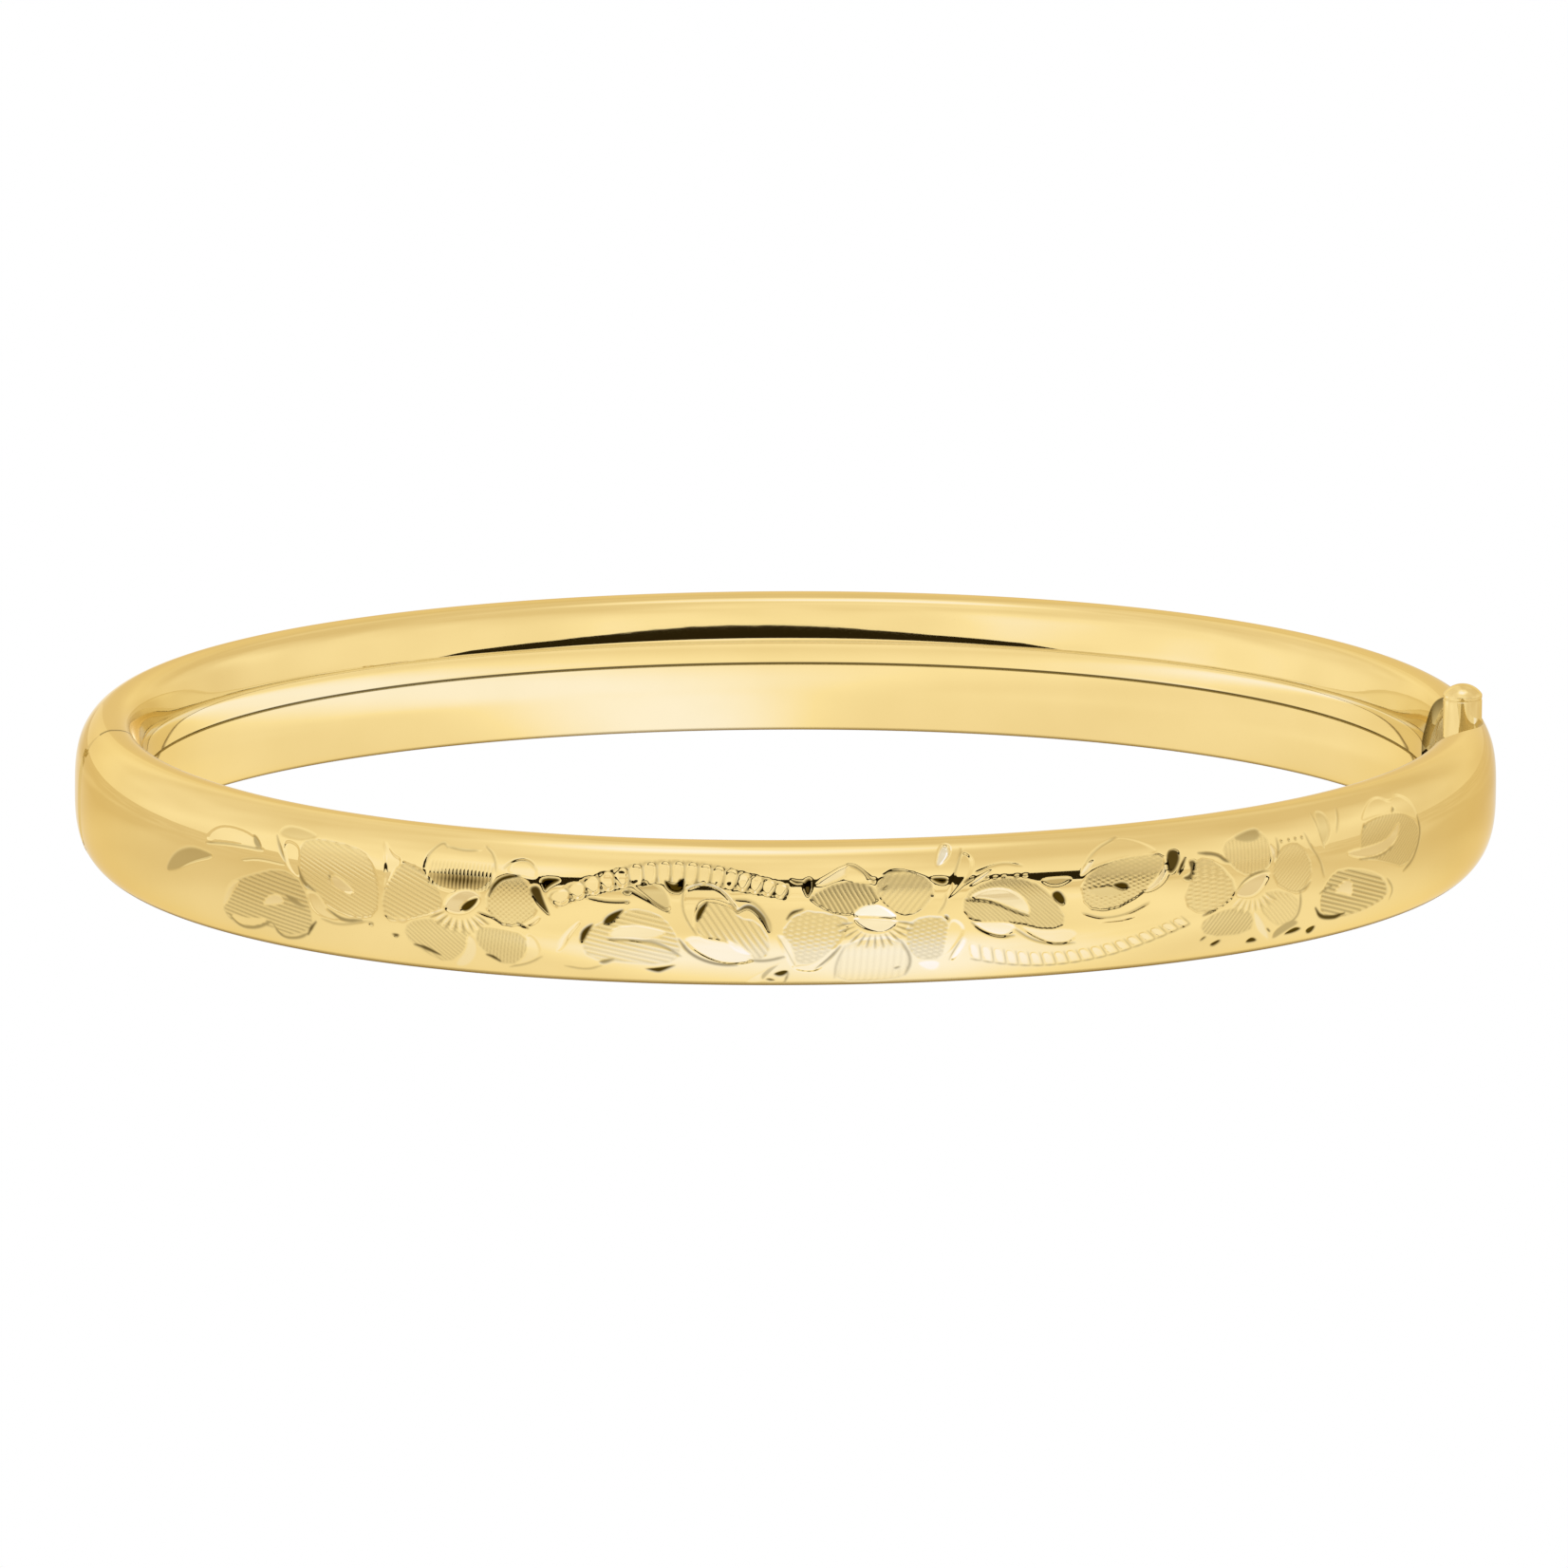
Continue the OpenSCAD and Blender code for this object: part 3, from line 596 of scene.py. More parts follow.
def engrave_third_flower(work):
    work.field([(15, 1.8), (16.1, 1.5), (17.2, 0.2), (16.7, -0.5), (15.2, -0.9), (14.2, -0.2), (14.7, 1)],
               15, -12, shade=0.1)
    work.stroke(-0.65, (15.1, 1.95), (16.1, 1.8), (16.5, 1.45), (16.9, 1.35), width=0.14)
    work.field([(16.3, 1.8), (16.8, 2.4), (18.6, 2.6), (19.1, 2), (19.1, 1), (18.4, 0.6), (17.3, 0.7)], 85,
               shade=0.12)
    work.facet(-0.35, [(17, 2.4), (18, 2.65), (18.7, 2.65), (18.6, 2.1), (17.6, 2.1)], tilt=(0, 0.1))
    work.facet(0.5, [(19, 2.1), (19.5, 1.5), (19.3, 0.8), (19.1, 1.3)], tilt=(0.2, 0))
    work.stroke(-0.4, (19.5, 2.1), (19.55, 1.6), (19.35, 1.1), width=0.12)
    work.field([(19.3, 1.3), (20, 1.8), (20.9, 1.7), (21.6, 0.5), (21.1, -0.4), (20.4, -0.6), (19.1, 0.2)],
               40, pitch=0.16, depth=0.02, shade=0.12)
    for s in (19.75, 20.2, 20.6, 21.0):
        work.pit((s - 0.12, 1.9), (s, 2.05), (s + 0.12, 1.92), (s, 1.8), tone=-0.45)
    work.stroke(-0.3, (21.2, 2.1), (21.5, 1.4), (22, 0.8), (22.25, 0), width=0.1)
    work.stroke(-0.35, (21.4, -0.1), (21.1, -0.4), (20.7, -0.5), width=0.12)
    work.field([(19, -0.1), (20.6, -0.6), (20.8, -1.5), (19.8, -2.1), (18.7, -1.4), (18.3, -0.6)], -45,
               pitch=0.17, shade=0.12)
    work.stroke(-0.45, (20.8, -0.5), (20.85, -1.3), (20.6, -1.8), (19.8, -2.05), width=0.12)
    work.facet(-0.4, [(19.4, -2.1), (20.5, -1.7), (21, -2), (20.2, -2.3), (19.5, -2.7)])
    work.field([(15.1, -1.3), (16, -0.8), (17.4, -0.7), (18.2, -1.3), (18, -2.1), (15.6, -2)], 50,
               pitch=0.18, shade=0.28)
    work.stroke(-0.65, (15.3, -0.9), (15.6, -0.8), (16, -0.7), width=0.16)
    work.pit((15.2, -2.1), (15.5, -1.85), (15.65, -1.95), (15.4, -2.15), tone=-0.9)
    work.pit((15.8, -2.35), (16.4, -2.1), (16.5, -2.3), (16.1, -2.55), tone=-0.9)
    work.pit((17.8, -2.6), (18.2, -2.2), (18.8, -2.6))
    work.pit((20, -2.5), (20.7, -2.1), (21.3, -2.3), (20.8, -2.5))
    work.pit((21.4, -2.4), (22.1, -2.2), (22.1, -2.6), (21.8, -2.75))
    work.stroke(-0.9, (18.9, -1.95), (19, -2), (19.2, -2.15), width=0.16)
    eye = (18.0, 0.15)
    work.fan(0.6, eye, range(225, 320, 15), 0.9, 0.7, width=0.14)
    work.fan(-0.3, eye, range(232, 335, 15), 0.9, 0.8, width=0.1)
    work.facet(0.55, [(18, -0.9), (18.5, -1.3), (19.6, -2.8), (18.6, -2.2), (18.2, -1.7)], tilt=(0.1, 0))
    work.facet(0.45, [(16.9, -0.1), (17.6, 0.5), (19.2, 0.8), (18.4, -0.3), (17.5, -0.4)], tilt=(0, 0.2))
    work.stroke(-0.5, (17.1, 0), (17.6, 0.5), (18.2, 0.7), (18.9, 0.7), width=0.14)


def engrave_clasp_leaves(work):
    work.facet(-0.12, [(22.1, 2.9), (22.9, 2.8), (22.9, 1.9), (22.2, 1.2)], tilt=(0.15, 0))
    work.stroke(-0.25, (22, 2.8), (22.1, 2.1), (22.3, 1.3), width=0.08)
    work.stroke(-0.3, (23.7, 2.8), (23.4, 2.2), (23.2, 1.8), width=0.08)
    work.field([(24.7, 1.1), (25, 1.9), (26.4, 2.1), (28, 2), (29.3, 1.3), (29.3, 0.3), (28.2, -0.6),
                (26.4, 0), (24.8, 0.4)], 35, pitch=0.15, depth=0.02, shade=0.2)
    work.facet(0.12, [(24.8, 2), (25.7, 2.7), (26.8, 2.9), (27.5, 2.5), (28.2, 2.8), (29.1, 2.3),
                (29.4, 1.4), (28.3, 1.9), (27.3, 2), (26, 2.1)], tilt=(0, 0.06))
    work.pit((24.9, 1.7), (25.2, 2), (25.3, 1.7), tone=-0.4)
    work.pit((27.2, 2), (27.6, 2.4), (27.7, 2.1), tone=-0.5)
    work.facet(0.35, [(23.4, 0.9), (25.6, 0.9), (26.8, 1), (27.9, 1.8), (27.6, 0.8), (26.3, 0.3),
                (24.6, 0.4)], tilt=(0, -0.12))
    work.stroke(-0.4, (24.6, 0.4), (26.2, 0.25), (27.3, 0.6), width=0.1)
    work.stroke(-0.45, (29.3, 1.6), (29.5, 0.7), (28.9, -0.3), (28, -0.7), width=0.12)
    work.field([(22, -0.9), (22.6, -0.1), (23.4, 0.2), (25.3, -0.2), (26.6, -0.8), (27, -1.7), (25.4, -2.1),
                (23.6, -2.2), (22.2, -1.8)], -18, pitch=0.2, depth=0.05, shade=0.33)
    work.facet(0.4, [(22.9, -0.9), (23.5, -0.4), (24.2, -0.4), (24.3, -1.3), (23.6, -1)], times=1)
    work.stroke(-0.85, (21.8, -1.4), (22.2, -1.9), (23.2, -2.1), (23.9, -2), width=0.2)
    work.stroke(-0.45, (22, -0.75), (22.5, -0.6), (23, -0.5), width=0.12)
    work.stroke(-0.4, (26.7, -0.8), (27.3, -1.4), (27.1, -1.9), width=0.1)


# ---------------------------------------------------------------- meshes


def grid_faces(rows, columns, first=0, flip=False):
    """Quads between the rows of a grid of points whose columns go round a closed section."""
    row, column = np.meshgrid(np.arange(rows - 1), np.arange(columns), indexing="ij")
    after = (column + 1) % columns
    near, far = row * columns, (row + 1) * columns
    quads = np.stack([near + column, near + after, far + after, far + column], -1).reshape(-1, 4)
    if flip:
        quads = quads[:, ::-1]
    return quads + first


def ring_faces(outer, inner, flip=False):
    """Triangles that fill the ring between two closed loops of vertex numbers of any length."""
    faces = []
    i = j = 0
    while i < len(outer) or j < len(inner):
        take_outer = j >= len(inner) or (i < len(outer) and i * len(inner) <= j * len(outer))
        a, b = outer[i % len(outer)], inner[j % len(inner)]
        if take_outer:
            faces.append((a, outer[(i + 1) % len(outer)], b))
            i += 1
        else:
            faces.append((a, inner[(j + 1) % len(inner)], b))
            j += 1
    if flip:
        faces = [face[::-1] for face in faces]
    return faces


def make_object(name, points, faces, attributes=None):
    """Mesh object from points in millimetres."""
    mesh = bpy.data.meshes.new(name)
    mesh.from_pydata((np.asarray(points) * MM).tolist(), [], [tuple(map(int, face)) for face in faces])
    for key, values in (attributes or {}).items():
        layer = mesh.attributes.new(key, "FLOAT", "POINT")
        layer.data.foreach_set("value", np.asarray(values, np.float32))
    mesh.update()
    made = bpy.data.objects.new(name, mesh)
    bpy.context.scene.collection.objects.link(made)
    return made


def place_section(point, normal, line, front):
    """Points of a section line, (distance, height), set across the oval at every row."""
    side = 1.0 if front else -1.0
    x = point[:, 0, None] + normal[:, 0, None] * line[..., 0]
    y = (point[:, 1, None] + normal[:, 1, None] * line[..., 0]) * side
    z = np.broadcast_to(line[..., 1] + HALF_W, x.shape)
    return np.stack([x, y, z], -1)


def row_places(fine):
    """Distances of the rows along the crown: close together in the engraved stretch."""
    _, distance = crown_distance()
    end = distance[-1] - JOINT_GAP
    if not fine:
        return np.linspace(-end, end, int(2 * end / PLAIN_STEP))
    low, high = ENGRAVED
    return np.concatenate(
        [
            np.linspace(-end, low, int((end + low) / PLAIN_STEP), endpoint=False),
            np.linspace(low, high, int((high - low) / FINE_STEP), endpoint=False),
            np.linspace(high, end, int((end - high) / PLAIN_STEP)),
        ]
    )


def oval_at(places):
    """The oval's points and normals at distances along the crown."""
    turn, distance = crown_distance()
    return oval(np.interp(places, distance, turn))


def smoothed(values):
    """Softens a relief by one grid step each way, as polishing does."""
    for axis in (0, 1):
        values = 0.25 * np.roll(values, 1, axis) + 0.5 * values + 0.25 * np.roll(values, -1, axis)
    return values


def face_layers(places, outer, seam_painted_shade, front):
    """Depth, painted light and dullness over a shell: the front's engraving, painted shade in the seam and
    painted shade in thin lines at the joints.
    """
    count = len(outer)
    depth, tone, matt = np.zeros((3, len(places), count + len(seam_painted_shade)))
    tone[:, count:] = seam_painted_shade
    if front:
        work = Engraving(places, outer[:, 1])
        engrave(work)
        depth[:, :count] = smoothed(work.depth)
        tone[:, :count] = smoothed(work.tone)
        matt[:, :count] = work.matt
    # Painted shade in a thin line along each end, in the gap where the halves meet.
    tone[np.abs(places) > places[-1] - JOINT_LINE] = JOINT_PAINTED_SHADE
    return depth, tone, matt


def skin(places, line, front):
    """Points of a section line at distances along the crown, row after row."""
    point, normal = oval_at(places)
    return place_section(point, normal, line, front).reshape(-1, 3)


def band(name, front):
    """One hollow half band, closed at its ends by the edge of its wall."""
    places = row_places(front)
    outer = even(outer_off, OUTER_COLUMNS if front else OUTER_COLUMNS // 2)
    inner, seam_painted_shade = with_seam(even(inner_off, INNER_COLUMNS))
    inner, seam_painted_shade = inner[::-1][1:-1], seam_painted_shade[::-1][1:-1]
    depth, tone, matt = face_layers(places, outer, seam_painted_shade, front)
    line = np.concatenate([outer, inner])
    facing = np.concatenate([line_normals(outer), np.zeros_like(inner)])
    shell = skin(places, line[None] - depth[..., None] * facing[None], front)

    hollow_places = np.linspace(places[0], places[-1], CAVITY_ROWS)
    hollow_outer = even(outer_off, CAVITY_COLUMNS, WALL)
    hollow_inner = even(inner_off, CAVITY_COLUMNS, WALL)[::-1][1:-1]
    hollow_line = np.concatenate([hollow_outer, hollow_inner])
    hollow = skin(hollow_places, hollow_line[None], front)

    faces = grid_faces(len(places), len(line), flip=front).tolist()
    faces += grid_faces(CAVITY_ROWS, len(hollow_line), len(shell), flip=not front).tolist()
    shell_loops = np.arange(len(shell)).reshape(-1, len(line))
    hollow_loops = len(shell) + np.arange(len(hollow)).reshape(-1, len(hollow_line))
    faces += ring_faces(shell_loops[0], hollow_loops[0], flip=not front)
    faces += ring_faces(shell_loops[-1], hollow_loops[-1], flip=front)
    unmarked = np.zeros(len(hollow))
    # The first layer paints shade and highlight into the colour; the matt layer only dulls the finish.
    layers = {
        "tone": np.concatenate([tone.ravel(), unmarked]),
        "matt": np.concatenate([matt.ravel(), unmarked]),
    }
    return make_object(name, np.concatenate([shell, hollow]), faces, layers)


def prism(name, corners, low, high, rotation=None, place=(0, 0, 0)):
    """Upright prism over the corners, which go round anticlockwise; it may be turned and then moved."""
    count = len(corners)
    points = [Vector((x, y, z)) for z in (low, high) for x, y in corners]
    faces = [(i, (i + 1) % count, count + (i + 1) % count, count + i) for i in range(count)]
    faces += [tuple(range(count))[::-1], tuple(range(count, 2 * count))]
    if rotation is not None:
        points = [rotation @ point for point in points]
    return make_object(name, [point + Vector(place) for point in points], faces)


def cylinder(name, radius, length, place, segments=96, rotation=None):
    """Cylinder round its middle, upright unless it is turned."""
    turns = np.arange(segments) * 2 * math.pi / segments
    ring = np.stack([radius * np.cos(turns), radius * np.sin(turns)], -1)
    return prism(name, ring, -length / 2, length / 2, rotation, place)


def subtract(solid, tools):
    """Cuts the tools out of the solid and removes them."""
    for tool in tools:
        modifier = solid.modifiers.new("cut", "BOOLEAN")
        modifier.operation = "DIFFERENCE"
        modifier.solver = "MANIFOLD"
        modifier.object = tool
    graph = bpy.context.evaluated_depsgraph_get()
    cut = bpy.data.meshes.new_from_object(solid.evaluated_get(graph))
    cut.materials.clear()
    solid.modifiers.clear()
    solid.data = cut
    for tool in tools:
        bpy.data.objects.remove(tool)


def hinge_tools():
    """The knuckles' round pocket and the V-shaped mitre outside it."""
    reach = 2 * BAND_T
    rise = reach * math.tan(MITRE_ANGLE)
    pocket = cylinder("pocket", POCKET_R, 2 * POCKET_H, (HINGE_X, 0, HALF_W))
    corners = [(HINGE_X, 0), (HINGE_X - reach, rise), (HINGE_X - reach, -rise)]
    return [pocket, prism("mitre", corners, -BAND_W, 2 * BAND_W)]


def clasp_tools():
    """The scooped thumb rest and the notch that the button stands in."""
    lean = Matrix.Rotation(-SCOOP_TILT, 3, "Y")
    lift = lean @ Vector((0, 0, SCOOP_R))
    lying = lean @ Matrix.Rotation(math.pi / 2, 3, "Y")
    scoop = cylinder("scoop", SCOOP_R, 4 * BAND_T, SCOOP_POINT + lift, 720, lying)
    round_end = [
        (BUTTON.x + NOTCH_R * math.cos(a), BUTTON.y + NOTCH_R * math.sin(a))
        for a in np.linspace(math.pi, 2 * math.pi, 49)
    ]
    corners = round_end + [(BUTTON.x + NOTCH_R, 1.0), (BUTTON.x - NOTCH_R, 1.0)]
    notch = prism("notch", corners, NOTCH_FLOOR, 2 * BAND_W)
    return [scoop, notch]


def lathe(name, outline, centre, segments=96):
    """Round piece from an outline of (radius, height) points that starts and ends on the axis."""
    rings = outline[1:-1]
    turns = np.arange(segments) * 2 * math.pi / segments
    points = [(r * math.cos(a), r * math.sin(a), z) for r, z in rings for a in turns]
    points += [(0, 0, outline[0][1]), (0, 0, outline[-1][1])]
    low, high = len(points) - 2, len(points) - 1
    faces = grid_faces(len(rings), segments).tolist()
    last = (len(rings) - 1) * segments
    for i in range(segments):
        after = (i + 1) % segments
        faces.append((low, after, i))
        faces.append((high, last + i, last + after))
    return make_object(name, np.array(points) + np.array([centre[0], centre[1], 0.0]), faces)


def fillet(corner, radius, start, end, steps=6):
    """Points of a quarter-round about a centre, from one angle to another, in degrees."""
    angles = np.radians(np.linspace(start, end, steps))
    return [(corner[0] + radius * math.cos(a), corner[1] + radius * math.sin(a)) for a in angles]


def button_barrel():
    """Thumb button's barrel with a softened foot and a fine turned line under the cap."""
    soft = 0.05
    line = 0.03
    low, high = barrel_low.z, barrel_high.z
    outline = [(0.0, low)]
    outline += fillet((BUTTON_R - soft, low + soft), soft, -90, 0)
    outline += [(BUTTON_R, high - 2 * line), (BUTTON_R - line, high - line)]
    outline += [(BUTTON_R - line, high), (0.0, high)]
    return lathe("button_barrel_turned", outline, BUTTON)


def button_cap():
    """Domed cap, a slice of a ball with a softened rim."""
    soft = 0.06
    low, high = cap_low.z, cap_high.z
    rim = 0.2
    dome = high - low - rim
    ball = (BUTTON_R**2 + dome**2) / (2 * dome)
    rim_turn = math.degrees(math.acos(BUTTON_R / ball))
    outline = [(0.0, low)]
    outline += fillet((BUTTON_R - soft, low + soft), soft, -90, 0)
    outline += fillet((BUTTON_R - soft, low + rim - soft / 2), soft, 0, rim_turn)
    outline += fillet((0.0, low + rim + dome - ball), ball, rim_turn + 4, 89, 20)
    outline += [(0.0, high)]
    return lathe("button_cap_domed", outline, BUTTON)


def polish(made, material):
    """Gives a piece its gold, and smooth shading that leaves sharp edges crisp."""
    made.data.shade_smooth()
    made.data.set_sharp_from_angle(angle=SHARP_ANGLE)
    made.data.materials.append(material)


# ---------------------------------------------------------------- materials

YELLOW = (0.98, 0.76, 0.335)
PALE_YELLOW = (0.97, 0.78, 0.4)
SPRING_YELLOW = (0.92, 0.71, 0.33)
PIN_YELLOW = (0.93, 0.7, 0.3)
EDGE_YELLOW = (0.97, 0.84, 0.55)
# Painted shade for the deepest cuts and painted highlight for the brightest facets.
PAINTED_CUT_SHADE = (0.07, 0.04, 0.003)
PAINTED_CUT_HIGHLIGHT = (1.0, 0.95, 0.78)
MATT_ROUGHNESS = 0.2

# Painted light in the gold's reflections of itself: a paler painted colour and edge from the first bounce, a
# painted warm glow from the last.
TINTED_BOUNCES = 1
LAST_BOUNCE = 4
PAINTED_BOUNCE_COLOUR = (0.9, 0.87, 0.78)
PAINTED_BOUNCE_EDGE = (0.93, 0.9, 0.82)
PAINTED_BOUNCE_GLOW = (0.75, 0.68, 0.52)


def node(tree, kind, at, **values):
    """New node at a place in the tree, with values for its inputs or its settings."""
    made = tree.nodes.new(kind)
    made.location = at
    for key, value in values.items():
        if key in made.inputs:
            made.inputs[key].default_value = value
        else:
            setattr(made, key, value)
    return made


def math_of(tree, operation, first, second=None, third=None, clamp=False):
    """Math node's result, from sockets or numbers."""
    made = tree.nodes.new("ShaderNodeMath")
    made.operation = operation
    made.use_clamp = clamp
    for socket, value in zip(made.inputs, (first, second, third)):
        if isinstance(value, bpy.types.NodeSocket):
            tree.links.new(value, socket)
        elif value is not None:
            socket.default_value = value
    return made.outputs["Value"]


def total(tree, first, *others):
    for other in others:
        first = math_of(tree, "ADD", first, other)
    return first


def product(tree, first, *others):
    for other in others:
        first = math_of(tree, "MULTIPLY", first, other)
    return first


def rest_of(tree, share):
    """What a share leaves of 1."""
    return math_of(tree, "SUBTRACT", 1.0, share)


def mixed(tree, share, first, second):
    """Colour between two colours or sockets, by a share from 0 to 1."""
    made = tree.nodes.new("ShaderNodeMix")
    made.data_type = "RGBA"
    tree.links.new(share, made.inputs["Factor"])
    for key, value in (("A", first), ("B", second)):
        socket = [s for s in made.inputs if s.name == key and s.type == "RGBA"][0]
        if isinstance(value, bpy.types.NodeSocket):
            tree.links.new(value, socket)
        else:
            socket.default_value = (*value, 1)
    return [s for s in made.outputs if s.type == "RGBA"][0]


def paint_deep_bounces(tree, shader, base):
    """Keeps light that runs on along the gold's own hollow faces from turning orange, then black.

    After the first bounce the gold is painted a paler colour that only shades a little, and from the last
    bounce on it is black and gives off a painted warm glow.
    """
    bounces = node(tree, "ShaderNodeLightPath", (-900, 1000)).outputs["Ray Depth"]
    deep = math_of(tree, "GREATER_THAN", bounces, TINTED_BOUNCES - 0.5)
    last = math_of(tree, "GREATER_THAN", bounces, LAST_BOUNCE - 0.5)
    base = mixed(tree, deep, base, PAINTED_BOUNCE_COLOUR)
    tree.links.new(mixed(tree, last, base, (0.0, 0.0, 0.0)), shader.inputs["Base Color"])
    tree.links.new(mixed(tree, deep, EDGE_YELLOW, PAINTED_BOUNCE_EDGE), shader.inputs["Specular Tint"])
    # Painted glow: from the last bounce on, the gold gives off light though it is no lamp.
    shader.inputs["Emission Color"].default_value = (*PAINTED_BOUNCE_GLOW, 1)
    tree.links.new(last, shader.inputs["Emission Strength"])


def cloudy(tree, place, colour):
    """The alloy's colour, a little deeper in faint clouds."""
    cloud = node(tree, "ShaderNodeTexNoise", (-1100, 300), Scale=260.0, Detail=3.0)
    tint = node(tree, "ShaderNodeMapRange", (-900, 300), **{"From Min": 0.3, "From Max": 0.7})
    tree.links.new(place, cloud.inputs["Vector"])
    tree.links.new(cloud.outputs["Fac"], tint.inputs["Value"])
    deeper = (colour[0] * 0.975, colour[1] * 0.97, colour[2] * 0.94)
    return mixed(tree, tint.outputs["Result"], deeper, colour)


def scuffed(tree, place, roughness, wear):
    """The roughness, raised along the hairlines that wear leaves round the band."""
    stretch = node(tree, "ShaderNodeMapping", (-1200, -100), Scale=(700.0, 700.0, 9000.0))
    hair = node(tree, "ShaderNodeTexNoise", (-1000, -100), Scale=1.0, Detail=4.0)
    scuff = node(tree, "ShaderNodeMapRange", (-780, -100), **{"From Min": 0.55, "From Max": 0.75})
    scuff.inputs["To Min"].default_value = roughness
    scuff.inputs["To Max"].default_value = roughness + 0.08 * wear
    tree.links.new(place, stretch.inputs["Vector"])
    tree.links.new(stretch.outputs["Vector"], hair.inputs["Vector"])
    tree.links.new(hair.outputs["Fac"], scuff.inputs["Value"])
    return scuff.outputs["Result"]


def uneven(tree, place, bump):
    """Normal of a very softly uneven face."""
    wave = node(tree, "ShaderNodeTexNoise", (-1000, -600), Scale=420.0, Detail=2.0)
    bumps = node(tree, "ShaderNodeBump", (-500, -600), Strength=bump, Distance=0.02 * MM)
    tree.links.new(place, wave.inputs["Vector"])
    tree.links.new(wave.outputs["Fac"], bumps.inputs["Height"])
    return bumps.outputs["Normal"]


def gold(name, colour, roughness, wear=0.35, bump=0.12, with_painted_light=False):
    """Polished gold alloy with faint cloudiness, hairline wear and a very soft unevenness.

    When it is asked to, the mesh's layers paint shade into the deep cuts, the seam and the joint lines,
    paint highlights on the freshly cut facets and dull the hatched fields.
    """
    material = bpy.data.materials.new(name)
    material.use_nodes = True
    tree = material.node_tree
    shader = tree.nodes["Principled BSDF"]
    shader.inputs["Metallic"].default_value = 1.0
    place = node(tree, "ShaderNodeTexCoord", (-1400, 0)).outputs["Object"]
    base = cloudy(tree, place, colour)
    rough = scuffed(tree, place, roughness, wear)
    if with_painted_light:
        tone = node(tree, "ShaderNodeAttribute", (-1100, 600), attribute_name="tone").outputs["Fac"]
        matt = node(tree, "ShaderNodeAttribute", (-1100, 800), attribute_name="matt").outputs["Fac"]
        # Painted shade pulls the colour towards the cut shade, and painted highlight towards near-white.
        dark = math_of(tree, "MULTIPLY", tone, -1.15, clamp=True)
        lit = math_of(tree, "MULTIPLY", tone, 1.0, clamp=True)
        base = mixed(tree, dark, base, PAINTED_CUT_SHADE)
        base = mixed(tree, product(tree, lit, lit), base, PAINTED_CUT_HIGHLIGHT)
        rough = math_of(tree, "MULTIPLY_ADD", matt, MATT_ROUGHNESS, rough)
    paint_deep_bounces(tree, shader, base)
    tree.links.new(rough, shader.inputs["Roughness"])
    tree.links.new(uneven(tree, place, bump), shader.inputs["Normal"])
    return material


# ---------------------------------------------------------------- the studio

PLAIN_LIGHT = (1.0, 1.0, 1.0)
SHADED_LIGHT = (0.75, 0.68, 0.56)
BRIGHT_LIGHT = (1.03, 1.2, 2.1)
# Painted contact shadow in the mirrored floor's glow, reaching CONTACT_REACH from the band.
PAINTED_CONTACT_SHADOW = (0.2, 0.15, 0.08)
CONTACT_REACH = 0.2
GAP_COLOUR = (0.022, 0.017, 0.008)

FLOOR_HALF = 1500
SHOWN_FLOOR = -0.02
MIRRORED_FLOOR = -0.01

GAP_TURN = 2.0
GAP_HALF = 48.0
GAP_MIDDLE = 12.0
GAP_HEIGHT = 10.0
GAP_BOW = 0.0042
GAP_FLARE = 1.2

VIEW_RISE = math.radians(12.278)
VIEW_SIDE = math.radians(8.8146)
VIEW_ROLL = math.radians(0.416)
VIEW_DISTANCE = 1066.5
VIEW_LENS = 537.8
VIEW_SHIFT = (-0.0012, -0.0004)


def lighting_colour(tree, level):
    """Colour of the light for a level: -1 is shade, 0 is plain and 1 is its brightest, coolest part."""
    dim = math_of(tree, "MULTIPLY", level, -1.0, clamp=True)
    lit = math_of(tree, "MULTIPLY", level, 1.0, clamp=True)
    return mixed(tree, lit, mixed(tree, dim, PLAIN_LIGHT, SHADED_LIGHT), BRIGHT_LIGHT)


def step_of(tree, value, start, end):
    """Smooth step from 0 at start to 1 at end."""
    made = tree.nodes.new("ShaderNodeMapRange")
    made.interpolation_type = "SMOOTHSTEP"
    made.inputs["From Min"].default_value = start
    made.inputs["From Max"].default_value = end
    tree.links.new(value, made.inputs["Value"])
    return made.outputs["Result"]


def patches(tree, place, scale, strength):
    """Soft patches that make the light uneven, a little darker than even on the whole."""
    patch = node(tree, "ShaderNodeTexNoise", (-1200, -400), Scale=scale, Detail=1.0)
    tree.links.new(place, patch.inputs["Vector"])
    return math_of(tree, "MULTIPLY_ADD", patch.outputs["Fac"], strength, -0.6)


def glowing(name):
    """Material that only gives light, and its tree and emission socket."""
    material = bpy.data.materials.new(name)
    material.use_nodes = True
    shader = material.node_tree.nodes["Principled BSDF"]
    shader.inputs["Base Color"].default_value = (0.0, 0.0, 0.0, 1)
    shader.inputs["Roughness"].default_value = 1.0
    shader.inputs["Specular IOR Level"].default_value = 0.0
    shader.inputs["Emission Color"].default_value = (1.0, 1.0, 1.0, 1)
    shader.inputs["Emission Strength"].default_value = 1.0
    return material, material.node_tree, shader.inputs["Emission Color"]


def sheet_below(name, height, material):
    """Wide level sheet under the bangle."""
    half = FLOOR_HALF
    corners = [(-half, -half, height), (half, -half, height), (half, half, height), (-half, half, height)]
    made = make_object(name, corners, [(0, 1, 2, 3)])
    made.data.materials.append(material)
    return made


